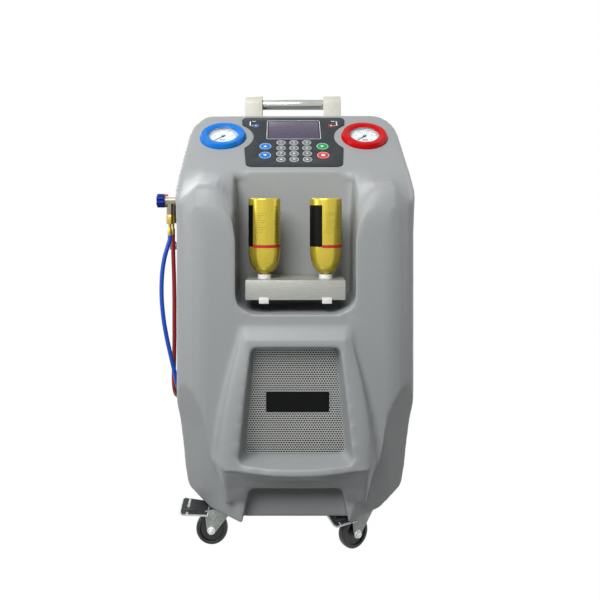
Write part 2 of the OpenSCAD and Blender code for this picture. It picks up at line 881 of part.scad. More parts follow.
// Casters: name part, side of the machine, depth of the swivel, turn of the fork, brake
CASTERS = [
    ["left", -caster_x, caster_front, 0, true],
    ["right", caster_x, caster_front, 33, true],
    ["rear_left", -caster_x, caster_rear, -90, false],
    ["rear_right", caster_x, caster_rear, -90, false]];

module at_caster(c) translate([c[1], dy(c[2]), 0]) rotate([0, 0, c[3]]) children();

module caster_plates() {
    color("#bec3bd") for (c = CASTERS) at_caster(c) difference() {
        union() {
            translate([0, 0, tray_z - plate_t]) cylinder(h = plate_t, r = plate_r);
            translate([0, 0, crown_z + fit]) cylinder(h = tray_z - crown_z - fit, r = race_r);
        }
        translate([0, 0, crown_z - over]) cylinder(h = tray_z - crown_z, r = kingpin_dia / 2 + run);
    }
}

module leg_outline(brake) {
    hull() {
        translate([-trail, axle_z]) circle(axle_dia / 2 + axle_rim, $fn = 32);
        translate([-leg_w / 2 - over, crown_z - crown_t]) square([leg_w, crown_t]);
        if (brake) translate([-pivot_x, pivot_z]) circle(pedal_pin, $fn = 32);
    }
}

module fork(c) {
    half = fork_in + fork_t;
    color("#bec3bd") at_caster(c) {
        difference() {
            union() {
                translate([0, 0, crown_z - crown_t]) cylinder(h = crown_t, r = crown_r);
                translate([0, 0, crown_z - over])
                    cylinder(h = tray_z - crown_z - over, r = kingpin_dia / 2);
                for (s = [-1, 1]) translate([0, s * (half - fork_t / 2) + fork_t / 2, 0])
                    rotate([90, 0, 0]) linear_extrude(fork_t) leg_outline(c[4]);
            }
            translate([-trail, 0, axle_z]) rod_y(-half - over, half + over, axle_dia / 2 + run);
            if (c[4]) translate([-pivot_x, 0, pivot_z])
                rod_y(-half - over, half + over, pedal_pin / 2 + run);
        }
        translate([-trail, 0, axle_z]) {
            rod_y(-half - nut_t / 2, half + nut_t / 2, axle_dia / 2);
            for (y = [-half - nut_t, half + run]) rod_y(y, y + nut_t - run, axle_dia * 0.8, $fn = 6);
        }
    }
}

// Wheel with a rounded tread and a raised hub
module wheel(c) {
    r = wheel_dia / 2;
    h = wheel_w / 2;
    bore = axle_dia / 2 + run;
    side = [
        [bore, h + fork_gap - fit],
        [axle_dia, h + fork_gap - fit],
        [axle_dia, h / 2],
        [r * 0.7, h / 2],
        [r * 0.75, h],
        [r - tyre_edge, h],
        [r - tyre_edge / 4, h - tyre_edge * 3 / 4],
        [r, h / 3]];
    outline = concat(side, [for (i = [len(side) - 1 : -1 : 0]) [side[i][0], -side[i][1]]]);
    color("#161819") at_caster(c) translate([-trail, 0, axle_z])
        rotate([90, 0, 0]) rotate_extrude() polygon(outline);
}

// Brake pedal: pressed strip on its pin, with a rubber tread at the end
module pedal(c) {
    strip_w = 2 * (fork_in - over);
    taper = pedal_w / 10;
    color("#26292b") at_caster(c) translate([-pivot_x, 0, pivot_z]) {
        rod_y(-fork_in - fork_t, fork_in + fork_t, pedal_pin / 2);
        rotate([0, pedal_lift, 0]) {
            translate([-pedal_l, -strip_w / 2, -pedal_t / 2]) cube([pedal_l, strip_w, pedal_t]);
            translate([-pedal_l, -pedal_w / 2, -pedal_t / 2]) linear_extrude(pedal_t + tread_h)
                polygon(rounded([
                    [0, 0, 2 * taper],
                    [tread_l, taper, taper],
                    [tread_l, pedal_w - taper, taper],
                    [0, pedal_w, 2 * taper]]));
        }
    }
}

// Hoses: x, depth and height of the route from the bulkhead elbow to the coupler
LOW_ROUTE = [
    [-296, 488, 545], [-296, 488, 480], [-296, 488, 400], [-296, 488, 318],
    [-296, 482, 294], [-296, 464, 276], [-296, 440, 270], [-296, 416, 276], [-296, 398, 294],
    [-296, 392, 318], [-296, 392, 400], [-296, 392, 480], [-296, 392, 570], [-296, 392, 650],
    [-299, 398, 674], [-302, 416, 692], [-305, 440, 698], [-308, 464, 692], [-311, 482, 674],
    [-314, 488, 650], [-314, 488, 570], [-314, 488, 480], [-314, 488, 400], [-314, 488, 344],
    [-316, 478, 307], [-318, 451, 280], [-320, 414, 270], [-322, 377, 280], [-325, 350, 307],
    [-330, 340, 344], [-339, 333, 390], [-349, 328, 440], [-357, 325, 490], [-362, 325, 540],
    [-363, 325, 580], [-361, 325, 620], [-355, 325, 660], [-346, 325, 692], [-341, 325, 708],
    [-340, 325, 716], [-340, 325, 722]];
HIGH_ROUTE = [
    [-296, 502, 595], [-296, 502, 530], [-296, 502, 460], [-296, 502, 390], [-296, 502, 318],
    [-296, 494, 287], [-296, 471, 264], [-296, 440, 256], [-296, 409, 264], [-296, 386, 287],
    [-296, 378, 318], [-296, 378, 400], [-296, 378, 480], [-296, 378, 570], [-296, 378, 650],
    [-299, 386, 681], [-302, 409, 704], [-305, 440, 712], [-308, 471, 704], [-311, 494, 681],
    [-314, 502, 650], [-314, 502, 570], [-314, 502, 480], [-314, 502, 400], [-316, 502, 315],
    [-321, 493, 283], [-327, 470, 260], [-332, 438, 251], [-335, 406, 260], [-337, 383, 283],
    [-338, 375, 315], [-337, 375, 360], [-336, 375, 420], [-336, 375, 480], [-336, 375, 540],
    [-337, 375, 600], [-339, 375, 660], [-340, 375, 706], [-340, 375, 722]];

module hose_low() color("#0043ae") swept_tube([for (p = LOW_ROUTE) place(p)], hose_dia / 2);

module hose_high() color("#870d0e") swept_tube([for (p = HIGH_ROUTE) place(p)], hose_dia / 2);

// Brass end between a coupler and its hose: nut, stem and crimped ferrule
coupler_low_z = coupler_z - outlet_l;
hose_top_z = LOW_ROUTE[len(LOW_ROUTE) - 1][2];

module hose_end(d) {
    nut_z = hose_top_z + ferrule_l + stem_l;
    translate([hose_x, dy(d), 0]) {
        translate([0, 0, hose_top_z]) cylinder(h = ferrule_l, d = hose_dia);
        translate([0, 0, hose_top_z + ferrule_l]) cylinder(h = stem_l, d = hose_dia * 2 / 3);
        translate([0, 0, nut_z]) cylinder(h = coupler_low_z - nut_z, d = hose_dia * 1.6, $fn = 6);
    }
}

// Elbow that leads a hose out of the cover's side and down
module elbow(route) {
    p = place(route[0]);
    bore = hose_dia / 2;
    out = -side_x - p[0];
    translate(p) {
        cylinder(h = ferrule_l + bore + sheet, d = hose_dia + wall / 2);
        translate([0, 0, ferrule_l + sheet]) {
            rod_x(-bore - sheet, out, bore + sheet);
            rod_x(out - 2 * sheet, out, 2 * bore - sheet, $fn = 6);
        }
    }
}

module hose_fittings() {
    color("#cfd375") {
        hose_end(low_d);
        hose_end(high_d);
        elbow(LOW_ROUTE);
        elbow(HIGH_ROUTE);
    }
}

// Quick coupler: knob spindle outside, socket on its parking stud, outlet downwards
module coupler(d, stud) {
    translate([0, dy(d), coupler_z]) difference() {
        union() {
            rod_x(hose_x - coupler_out, hose_x + coupler_in, coupler_r);
            rod_x(hose_x - knob_in + knob_end, hose_x - coupler_out, spindle_r);
            rod_x(hose_x + coupler_in, -side_x - sheet - socket_gap, stud / 2 + socket_wall);
            translate([hose_x, 0, -outlet_l]) cylinder(h = outlet_l, d = hose_dia * 1.5, $fn = 6);
        }
        rod_x(hose_x + coupler_in + socket_gap, 0, stud / 2 + run);
    }
}

module service_couplers() {
    color("#a9a698") {
        coupler(low_d, low_stud);
        coupler(high_d, high_stud);
    }
}

// Knob with finger lobes that turns on the spindle
module knob(d) {
    r = knob_dia / 2;
    translate([0, dy(d), coupler_z]) difference() {
        rod_x(hose_x - knob_in, hose_x - coupler_out - fit, r);
        rod_x(hose_x - knob_in + knob_end - run, hose_x, spindle_r + run);
        for (i = [0 : 5]) rotate([60 * i, 0, 0]) translate([0, r * 1.16, 0])
            rod_x(hose_x - knob_in - over, hose_x, r / 3);
    }
}

module knob_low() color("#2b53d9") knob(low_d);

module knob_high() color("#c8252a") knob(high_d);

// Hanger on the left side: wall plate, hose saddle with an end stop, two parking studs
module hose_hanger() {
    plate_low = saddle_z - stop_h;
    plate_top = coupler_z + plate_rim;
    rest_w = 2 * saddle_r / 1.6;
    color("#645a58") {
        translate([-side_x - sheet, dy(low_d - plate_rim), plate_low])
            cube([sheet, saddle_d + saddle_r - low_d + plate_rim, plate_top - plate_low]);
        translate([-side_x - sheet - saddle_out, dy(saddle_d), saddle_z]) intersection() {
            difference() {
                union() {
                    rod_x(0, saddle_out, saddle_r);
                    rod_x(-stop_t, 0, saddle_r + stop_h);
                }
                rod_x(-reach, reach, saddle_r - 1.5 * sheet);
            }
            translate([-saddle_out, -rest_w / 2, stop_h]) cube([reach, rest_w, reach]);
        }
        for (p = [[low_d, low_stud], [high_d, high_stud]]) translate([0, dy(p[0]), coupler_z])
            rod_x(hose_x + coupler_in + 2.5 * socket_gap, -side_x - sheet, p[1] / 2);
    }
}

// Inside
module refrigerant_tank() {
    r = tank_dia / 2;
    z = tray_top + scale_h;
    ring_h = r / 6;
    valve_r = r / 10;
    dome = [for (i = [0 : arc_steps]) let (a = 90 * i / arc_steps)
        [r * cos(a), tank_h - r / 2 + r / 2 * sin(a)]];
    color("#c9ccc8") translate([0, dy(tank_d), z]) {
        rotate_extrude() polygon(concat(
            [[0, ring_h], [r * 0.8, ring_h], [r * 0.8, 0]],
            [[r * 0.84, 0], [r * 0.84, ring_h], [r, 3 * ring_h]],
            dome));
        for (s = [-1, 1]) translate([s * 3 * valve_r, 0, tank_h - valve_r / 2])
            cylinder(h = 4 * valve_r, r = valve_r);
    }
}

// Weighing platform: pan on a narrower base
module tank_scale() {
    w = tank_dia + foot_h;
    pan_t = scale_h / 4;
    base_w = w - 2 * foot_h;
    color("#8d9190") translate([0, dy(tank_d), tray_top]) {
        translate([-base_w / 2, -base_w / 2, 0]) cube([base_w, base_w, scale_h - pan_t]);
        translate([-w / 2, -w / 2, scale_h - pan_t]) cube([w, w, pan_t]);
    }
}

// Welded shell on three feet
module compressor() {
    r = comp_dia / 2;
    lift = foot_h / 2;
    color("#1d1f21") translate([-pump_x, dy(pump_d), tray_top]) {
        rotate_extrude() polygon([
            [0, lift],
            [r * 0.8, lift],
            [r, r * 0.4],
            [r, comp_h - r * 0.5],
            [r * 0.6, comp_h - r * 0.1],
            [0, comp_h]]);
        for (i = [0 : 2]) rotate([0, 0, 120 * i]) translate([r * 0.7, 0, 0])
            cylinder(h = foot_h, r = r / 6);
    }
}

// Rotary pump: motor drum on a foot, oil case and inlet stub
module vacuum_pump() {
    color("#54585c") translate([pump_x, dy(pump_d), tray_top]) {
        translate([-pump_w / 2, -pump_l / 2, 0]) cube([pump_w, pump_l, foot_h]);
        translate([-pump_w / 4, -pump_l * 0.43, foot_h]) cube([pump_w / 2, pump_l * 0.86, drum_r]);
        translate([0, 0, drum_r + foot_h + sheet]) rod_y(-pump_l / 2, pump_l / 2, drum_r);
        translate([0, pump_l / 4, 2 * drum_r]) cylinder(h = drum_r * 0.85, r = drum_r * 0.3);
    }
}

// Finned block standing on the tray, and the spider that carries the fan
cond_d = arch_d + wall + tray_t + cond_gap;
fan_back = cond_d + cond_t;
fan_z = (vent_top_z + vent_low_z) / 2;

module condenser() {
    fins = 12;
    fin_t = wall * 0.3;
    pitch = cond_w / fins;
    header = cond_top - vent_top_z + fin_t;
    arm_w = 3 * shaft_r;
    color("#aeb1b0") translate([-cond_w / 2, dy(cond_d), tray_top]) difference() {
        cube([cond_w, cond_t, cond_top - tray_top]);
        for (i = [0 : fins - 1]) translate([i * pitch + fin_t, -over, sill_z - tray_top])
            cube([pitch - 2 * fin_t, cond_t / 3 + over, cond_top - sill_z - header]);
    }
    color("#54585c") translate([0, dy(fan_back), fan_z]) {
        for (i = [0 : 3]) rotate([0, 45 + 90 * i, 0]) translate([-arm_w / 2, 0, 0])
            cube([arm_w, fan_set / 3, fan_dia / 2 + arm_w / 2]);
        rod_y(0, fan_set + fan_t + over, shaft_r);
    }
}

module condenser_fan() {
    blades = 5;
    root = fan_hub * 0.7;
    blade_t = fan_t / 8;
    color("#2c2f31") translate([0, dy(fan_back) + fan_set, fan_z]) difference() {
        union() {
            rod_y(0, fan_t, fan_hub);
            for (i = [0 : blades - 1]) rotate([0, 360 * i / blades, 0]) translate([0, fan_t / 2, root])
                rotate([0, 0, blade_pitch]) translate([-blade_w / 2, -blade_t / 2, 0])
                    cube([blade_w, blade_t, fan_dia / 2 - wall - root]);
        }
        rod_y(-over, fan_t + over, shaft_r + run);
    }
}

// Board on four stand-offs behind the recess wall, with its transformer and relay block
module control_board() {
    stand = 2 * wall;
    inset = board_h / 10;
    board_z = recess_z + board_h;
    board_t = wall * 0.4;
    color("#1f6b3c") translate([0, dy(recess_d + wall), board_z]) {
        translate([-board_w / 2, stand, 0]) cube([board_w, board_t, board_h]);
        for (sx = [-1, 1], z = [inset, board_h - inset]) translate([sx * (board_w / 2 - inset), 0, z])
            rod_y(0, stand, inset / 3);
        translate([-board_w * 0.2, stand + board_t, board_h * 0.15])
            cube([board_w * 0.4, board_h * 0.14, board_h * 0.3]);
        translate([board_w * 0.1, stand + board_t, board_h * 0.58])
            cube([board_w * 0.25, board_h * 0.23, board_h * 0.27]);
    }
}

base_tray();
front_cover();
rear_panel();
handle_brackets();
handle_tube();
keypad_plate();
lcd_window();
for (i = [0 : len(KEY_NAMES) - 1]) key(i);
gauge_ring_low();
gauge_ring_high();
gauge_cases();
gauge_lenses();
needle_low();
needle_high();
bottle_rack();
oil_bottle_left();
oil_bottle_right();
bottle_couplers();
vent_grille();
caster_plates();
for (c = CASTERS) fork(c);
for (c = CASTERS) wheel(c);
for (c = CASTERS) if (c[4]) pedal(c);
hose_low();
hose_high();
hose_fittings();
service_couplers();
knob_low();
knob_high();
hose_hanger();
refrigerant_tank();
tank_scale();
compressor();
vacuum_pump();
condenser();
condenser_fan();
control_board();
power_inlet();
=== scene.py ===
"""Looks of a refrigerant recovery machine on casters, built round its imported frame."""

import json
import math

import bmesh
import bpy
from mathutils import Matrix, Vector


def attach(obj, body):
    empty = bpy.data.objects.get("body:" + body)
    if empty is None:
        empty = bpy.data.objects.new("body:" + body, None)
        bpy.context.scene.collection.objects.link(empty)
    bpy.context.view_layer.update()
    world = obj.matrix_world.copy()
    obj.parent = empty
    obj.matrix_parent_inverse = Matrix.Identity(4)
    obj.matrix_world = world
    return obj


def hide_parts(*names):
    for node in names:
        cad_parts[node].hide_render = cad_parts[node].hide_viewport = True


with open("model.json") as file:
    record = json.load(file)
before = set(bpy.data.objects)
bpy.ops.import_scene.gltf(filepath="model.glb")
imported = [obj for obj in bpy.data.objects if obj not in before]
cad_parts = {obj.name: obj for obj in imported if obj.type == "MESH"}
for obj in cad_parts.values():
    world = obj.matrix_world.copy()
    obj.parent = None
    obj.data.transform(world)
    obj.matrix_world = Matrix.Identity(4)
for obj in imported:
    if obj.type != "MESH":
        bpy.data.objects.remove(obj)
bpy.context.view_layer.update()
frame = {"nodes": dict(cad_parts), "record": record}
NODES = frame["nodes"]
RECORD = frame["record"]
BODY_OF = {node: body for body, held in RECORD["behaviour"]["bodies"].items() for node in held}
SLOT_OF = {row["node"]: row["material_slot"] for row in RECORD["subparts"]}
SCENE = bpy.context.scene
# Sizes are millimetres, apart from the stage's
MM = 0.001
# Front plane, rear face and foot of the cover
FRONT = -260
REAR = 260
FOOT = 90
# Face of the vent screen, which lies behind the front plane
SCREEN_Y = -240
# Slope of the console, and the height at which it meets the front plane
TILT = math.radians(36)
CONSOLE_LOW = 780
# Gauges on the console: place across and up the slope
GAUGE_X = 190
GAUGE_V = 355
# Thickness of a printed figure, and the distance within which two places are one
FIGURE_DEPTH = 0.04
HAIR = 0.5


def spot(x, depth, z):
    """Point given in millimetres as x, depth behind the front plane and height."""
    return Vector((x, FRONT + depth, z)) * MM


# Camera
lens = bpy.data.cameras.new("camera")
lens.lens = 39.0
lens.sensor_width = 36.0
lens.shift_x = 0.0266
lens.shift_y = -0.1667
camera = bpy.data.objects.new("camera", lens)
camera.location = spot(-26, -1463, 820)
camera.rotation_euler = (math.pi / 2, 0, 0)
SCENE.collection.objects.link(camera)
SCENE.camera = camera


# Finishes
def linear(code):
    """Linear colour of an sRGB hex code."""
    parts = [int(code[i : i + 2], 16) / 255 for i in (0, 2, 4)]
    return [p / 12.92 if p <= 0.04045 else ((p + 0.055) / 1.055) ** 2.4 for p in parts] + [1.0]


def add(tree, kind, settings=None, links=None):
    """Adds a shader node, sets its sockets or properties and joins its inputs."""
    node = tree.nodes.new(kind)
    for key, value in (settings or {}).items():
        if isinstance(key, int) or key in node.inputs:
            node.inputs[key].default_value = value
        else:
            setattr(node, key, value)
    for key, source in (links or {}).items():
        tree.links.new(source, node.inputs[key])
    return node


def finish(name, light, dark, grain, rough, relief=0.1, stretch=(1, 1, 1), shine=0.5, **shader):
    """Material of two tones in a grain of that size in mm, with uneven gloss and a fine relief."""
    made = bpy.data.materials.new(name)
    made.use_nodes = True
    tree = made.node_tree
    tree.nodes.clear()
    place = add(tree, "ShaderNodeTexCoord")
    spread = add(tree, "ShaderNodeMapping", {"Scale": stretch}, {"Vector": place.outputs["Object"]})
    grain_scale = 1 / (grain * MM)
    fine = add(
        tree, "ShaderNodeTexNoise", {"Scale": grain_scale, "Detail": 3.0}, {"Vector": spread.outputs[0]}
    )
    broad = add(tree, "ShaderNodeTexNoise", {"Scale": 0.05 * grain_scale}, {"Vector": spread.outputs[0]})
    tone = add(tree, "ShaderNodeValToRGB", None, {"Fac": fine.outputs[0]})
    for element, place_at, code in zip(tone.color_ramp.elements, (0.3, 0.7), (dark, light)):
        element.position = place_at
        element.color = linear(code)
    gloss = add(
        tree,
        "ShaderNodeMapRange",
        {"From Min": 0.3, "From Max": 0.7, "To Min": max(rough - 0.05, 0.02), "To Max": rough + 0.05},
        {"Value": broad.outputs[0]},
    )
    bump = add(
        tree,
        "ShaderNodeBump",
        {"Strength": relief, "Distance": 0.1 * grain * MM},
        {"Height": fine.outputs[0]},
    )
    surface = add(
        tree,
        "ShaderNodeBsdfPrincipled",
        {"Specular IOR Level": shine, **shader},
        {"Base Color": tone.outputs[0], "Roughness": gloss.outputs[0], "Normal": bump.outputs[0]},
    )
    add(tree, "ShaderNodeOutputMaterial", None, {"Surface": surface.outputs[0]})
    return made


BRUSHED = (0.06, 1, 1)
DRAWN = (0.05, 1, 1)
SPUN = (1, 1, 0.2)
# Grains finer than about a millimetre are drawn coarser than the real ones, so that they show
FINISH = {
    # Rotomoulded polyethylene: a leather grain under a satin sheen
    "cover_plastic": finish("moulded_polyethylene", "9ea1a2", "979a9b", 1.6, 0.38, 0.2, shine=0.2),
    # Moulded nylon of the brackets: smooth and creamy
    "handle_plastic": finish("handle_nylon", "d0cec4", "c5c2b7", 3.0, 0.35, shine=0.3),
    # Chromed steel tube: a clear mirror with faint lines along it
    "handle_chrome": finish("chromed_steel", "c0c2bd", "aeb0ab", 2.0, 0.12, 0.02, DRAWN, Metallic=1.0),
    # Printed polyester film: matt and near black
    "pad_film": finish("printed_film", "373b3e", "303437", 0.8, 0.55, 0.15, shine=0.15),
    # Display glass: a dim violet panel with faint rows
    "display": finish("display_glass", "585065", "463f52", 2.4, 0.3, 0.0, (0.4, 2, 2), shine=0.25),
    # Silicone keys: even colour, soft to the light
    "key_grey": finish("key_silicone_grey", "74787b", "6b6f72", 1.2, 0.5, shine=0.3),
    "key_blue": finish("key_silicone_blue", "0a78ce", "0a70c0", 1.2, 0.4, shine=0.2),
    "key_green": finish("key_silicone_green", "159a4e", "128f47", 1.2, 0.4, shine=0.2),
    "key_red": finish("key_silicone_red", "d83a36", "ca3330", 1.2, 0.4, shine=0.2),
    # Moulded ABS bezels: strong colour and a gloss edge
    "bezel_blue": finish("bezel_abs_blue", "0476d2", "046ec6", 4.0, 0.24, 0.03, shine=0.2),
    "bezel_red": finish("bezel_abs_red", "c60205", "b80206", 4.0, 0.24, 0.03, shine=0.12),
    # Enamelled dial and case: a clean cool white
    "gauge_white": finish("dial_enamel", "e4e6e7", "d9dbdc", 3.0, 0.4, 0.03),
    # Cast acrylic lens: clear, with little bending of what lies behind
    "lens": finish(
        "lens_acrylic", "f4f8f9", "eef3f4", 6.0, 0.06, 0.01, **{"Transmission Weight": 1.0, "IOR": 1.2}
    ),
    # Stoved paint of the needles: flat black
    "needle_black": finish("needle_paint", "202224", "1a1c1e", 1.0, 0.45),
    # Brushed stainless sheet: fine lines across, warm grey
    "rack_steel": finish("brushed_stainless", "b2b4ad", "9fa19a", 0.9, 0.38, 0.2, BRUSHED, Metallic=0.4),
    # Gold lacquer on spun aluminium: bright streaks up the bottle
    "bottle_gold": finish("gold_lacquer", "d2be45", "c3ae39", 1.4, 0.26, 0.05, SPUN, Metallic=0.6),
    # Moulded acetal: plain white with a soft edge
    "coupler_white": finish("coupler_acetal", "ecedea", "e0e1de", 2.0, 0.4),
    # Zinc plated sheet: pale and faintly mottled
    "screen_zinc": finish("zinc_mesh", "dcdfdd", "c7cac8", 0.7, 0.4, 0.1, Metallic=0.3),
    "caster_zinc": finish("zinc_plate", "a9ada8", "7c817c", 3.0, 0.3, 0.15, Metallic=0.4),
    # Solid rubber: black, with the grain of the mould
    "wheel_black": finish("wheel_rubber", "1d1e1f", "131415", 0.9, 0.42, 0.3),
    "pedal_black": finish("pedal_rubber", "24272a", "191b1d", 0.7, 0.6, 0.4),
    # Extruded hose rubber: deep colour and a dull shine
    "hose_blue": finish("hose_rubber_blue", "0a4fb8", "0043ae", 0.9, 0.38, 0.15),
    "hose_red": finish("hose_rubber_red", "9c1518", "870d0e", 0.9, 0.38, 0.15),
    # Turned brass and nickel plate: warm metal with tool marks
    "brass": finish("turned_brass", "cfb968", "b59a48", 0.8, 0.32, 0.1, Metallic=0.85),
    "coupler_steel": finish("nickel_plate", "a39f90", "8b8778", 0.8, 0.34, 0.1, Metallic=0.85),
    # Moulded nylon knobs: dark blue and clear red
    "knob_blue": finish("knob_nylon_blue", "0b2a8a", "09247a", 1.2, 0.36, shine=0.1),
    "knob_red": finish("knob_nylon_red", "c8252a", "b62126", 1.2, 0.36),
    # Powder coat and enamel: an even orange-peel skin
    "hanger_paint": finish("powder_coat_grey", "6b6160", "5d5453", 0.6, 0.5, 0.3),
    "tank_paint": finish("tank_enamel", "c9ccc8", "bfc2be", 1.5, 0.4, 0.15),
    "scale_paint": finish("platform_paint", "8d9190", "848887", 1.2, 0.5, 0.2),
    "black_paint": finish("compressor_paint", "1f2123", "17191a", 1.2, 0.4, 0.15),
    "pump_paint": finish("pump_paint", "5b5f63", "4f5357", 1.2, 0.45, 0.2),
    "tray_paint": finish("tray_powder_coat", "525655", "474b4a", 0.7, 0.5, 0.25),
    # Aluminium fins drawn near black: painted shade that darkens the holes of the screen in front of them
    "fin_aluminium": finish("fins_painted_shade", "1d1f20", "151617", 0.8, 0.5, 0.15, (1, 1, 0.1)),
    # Moulded polyamide: matt and dark
    "fan_plastic": finish("fan_polyamide", "2e3133", "272a2c", 1.0, 0.5),
    "inlet_plastic": finish("inlet_polyamide", "1f2021", "18191a", 0.9, 0.45),
    # Solder mask: green with a wet gloss
    "board_green": finish("circuit_board", "227243", "1b6237", 1.0, 0.35),
    # Screen inks: flat and even
    "print_white": finish("ink_white", "e9eaea", "dfe0e0", 1.0, 0.5, 0.02),
    "print_black": finish("ink_black", "17191a", "101112", 1.0, 0.45, 0.02),
    "print_brown": finish("ink_brown", "5a5220", "4e471b", 1.0, 0.45, 0.02),
    "print_red": finish("ink_red", "c22026", "b01b21", 1.0, 0.45, 0.02),
    "print_blue": finish("ink_blue", "1f7fd6", "1a72c4", 1.0, 0.45, 0.02),
    # Bright zinc of nuts, bolt ends and pedal plates: catches the light
    "bright_zinc": finish("bright_zinc", "eef1ee", "d5d9d5", 1.2, 0.25, 0.05, Metallic=0.5),
    # Black enamel of the bare plate and labels
    "badge_black": finish("badge_enamel", "0e0f10", "08090a", 2.0, 0.4, 0.02, shine=0.1),
}


# Building blocks
def make(name, bm, finishes, body, stands_for=(), slot=None, angle=35):
    """Writes a piece from its faces and hangs it on its body."""
    bmesh.ops.recalc_face_normals(bm, faces=bm.faces)
    mesh = bpy.data.meshes.new(name)
    bm.to_mesh(mesh)
    bm.free()
    for key in finishes:
        mesh.materials.append(FINISH[key])
    mesh.shade_smooth()
    mesh.set_sharp_from_angle(angle=math.radians(angle))
    piece = bpy.data.objects.new(name, mesh)
    SCENE.collection.objects.link(piece)
    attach(piece, body)
    if slot or finishes[0] in SLOT_OF.values():
        slot or finishes[0]
    if stands_for:
        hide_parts(*stands_for)
    return piece


def islands(bm):
    """Connected groups of faces."""
    left = set(bm.faces)
    while left:
        group, edge = set(), [left.pop()]
        while edge:
            face = edge.pop()
            group.add(face)
            for other in {f for e in face.edges for f in e.link_faces} & left:
                left.discard(other)
                edge.append(other)
        yield group


def merged(node, keep=None):
    """Joined copy of a CAD node's triangles, or of those of its solids that are kept."""
    bm = bmesh.new()
    bm.from_mesh(NODES[node].data)
    bmesh.ops.remove_doubles(bm, verts=bm.verts, dist=0.01 * MM)
    if keep:
        gone = [f for group in islands(bm) for f in group if not keep(middle(group))]
        bmesh.ops.delete(bm, geom=gone, context="FACES")
    bmesh.ops.dissolve_limit(bm, angle_limit=math.radians(0.6), verts=bm.verts, edges=bm.edges)
    return bm


def middle(faces):
    """Middle of the box round some faces, in millimetres."""
    points = [v.co for f in faces for v in f.verts]
    return Vector([(min(p[i] for p in points) + max(p[i] for p in points)) / 2 for i in range(3)]) / MM


def soften(bm, width, segments=2, angle=30):
    """Rounds every edge that is sharper than the angle."""
    sharp = [e for e in bm.edges if len(e.link_faces) == 2 and e.calc_face_angle() > math.radians(angle)]
    bmesh.ops.bevel(
        bm,
        geom=sharp,
        offset=width * MM,
        offset_type="OFFSET",
        affect="EDGES",
        segments=segments,
        profile=0.5,
        material=-1,
        clamp_overlap=True,
    )
    return bm


def soft_piece(node, width, segments=2, name=None, keep=None):
    """Piece with rounded edges in place of a CAD node."""
    bm = soften(merged(node, keep), width, segments)
    return make(name or f"{node}_shown", bm, [SLOT_OF[node]], BODY_OF[node], [node])


def flat(bm, outline, height, at):
    """Face of an outline in mm at a height of a frame."""
    face = bm.faces.new([bm.verts.new(at @ (Vector((x, y, height)) * MM)) for x, y in outline])
    face.normal_update()
    return face


def raise_faces(bm, faces, height, at, index):
    """Raises faces along the frame's Z to a closed solid."""
    made = bmesh.ops.extrude_face_region(bm, geom=faces, use_keep_orig=True)["geom"]
    tops = [part for part in made if isinstance(part, bmesh.types.BMVert)]
    bmesh.ops.translate(bm, verts=tops, vec=at.to_3x3() @ Vector((0, 0, height * MM)))
    for face in {f for v in tops for f in v.link_faces}.union(faces):
        face.material_index = index


def prism(bm, outline, low, high, at=Matrix(), index=0):
    """Outline in mm raised between two heights of a frame."""
    raise_faces(bm, [flat(bm, outline, low, at)], high - low, at, index)


def lathe(bm, profile, at=Matrix(), index=0, steps=48, start=0, turn=360):
    """Profile of radii and heights in mm turned about the frame's Z."""
    old_verts, old_faces = set(bm.verts), set(bm.faces)
    begin = at @ Matrix.Rotation(math.radians(start), 4, "Z")
    line = [bm.verts.new(begin @ (Vector((r, 0, z)) * MM)) for r, z in profile]
    edges = [bm.edges.new(pair) for pair in zip(line, line[1:])]
    bmesh.ops.spin(
        bm,
        geom=line + edges,
        cent=at.translation,
        axis=at.to_3x3() @ Vector((0, 0, 1)),
        angle=math.radians(turn),
        steps=steps,
        use_merge=turn == 360,
    )
    for face in set(bm.faces) - old_faces:
        face.material_index = index
    bmesh.ops.remove_doubles(bm, verts=list(set(bm.verts) - old_verts), dist=0.001 * MM)


def ring_outline(bm, outer, inner, low, high, at, index=0, steps=40, start=0, turn=360):
    """Flat ring or arc."""
    profile = [(inner, low), (outer, low), (outer, high), (inner, high), (inner, low)]
    lathe(bm, profile, at, index, steps, start, turn)


def disc(radius, count=32):
    """Outline of a round or, with a low count, a many-sided plate."""
    angles = [math.tau * i / count for i in range(count)]
    return [(radius * math.cos(a), radius * math.sin(a)) for a in angles]


def rounded_box(w, h, r, steps=5):
    """Rectangle about the middle with rounded corners."""
    points = []
    for turn, (sx, sy) in enumerate(((1, 1), (-1, 1), (-1, -1), (1, -1))):
        for i in range(steps + 1):
            a = math.radians(90 * turn + 90 * i / steps)
            points.append((sx * (w / 2 - r) + r * math.cos(a), sy * (h / 2 - r) + r * math.sin(a)))
    return points


def frame_line(bm, w, h, r, wide, low, high, at, index=0):
    """Thin line along a rounded rectangle."""
    base = flat(bm, rounded_box(w, h, r), low, at)
    ring = bmesh.ops.inset_individual(bm, faces=[base], thickness=wide * MM, use_even_offset=True)["faces"]
    bmesh.ops.delete(bm, geom=[base], context="FACES_ONLY")
    raise_faces(bm, ring, high - low, at, index)


def glyph(bm, text, size, at, index):
    """Flat generic figure, centred on the frame's origin."""
    curve = bpy.data.curves.new("figure", "FONT")
    curve.body = text
    curve.size = size * MM
    curve.align_x = "CENTER"
    curve.align_y = "CENTER"
    curve.resolution_u = 2
    curve.extrude = FIGURE_DEPTH * MM
    holder = bpy.data.objects.new("figure", curve)
    sheet = bpy.data.meshes.new_from_object(holder)
    sheet.transform(at)
    for face in sheet.polygons:
        face.material_index = index
    bm.from_mesh(sheet)
    bpy.data.objects.remove(holder)
    bpy.data.curves.remove(curve)
    bpy.data.meshes.remove(sheet)


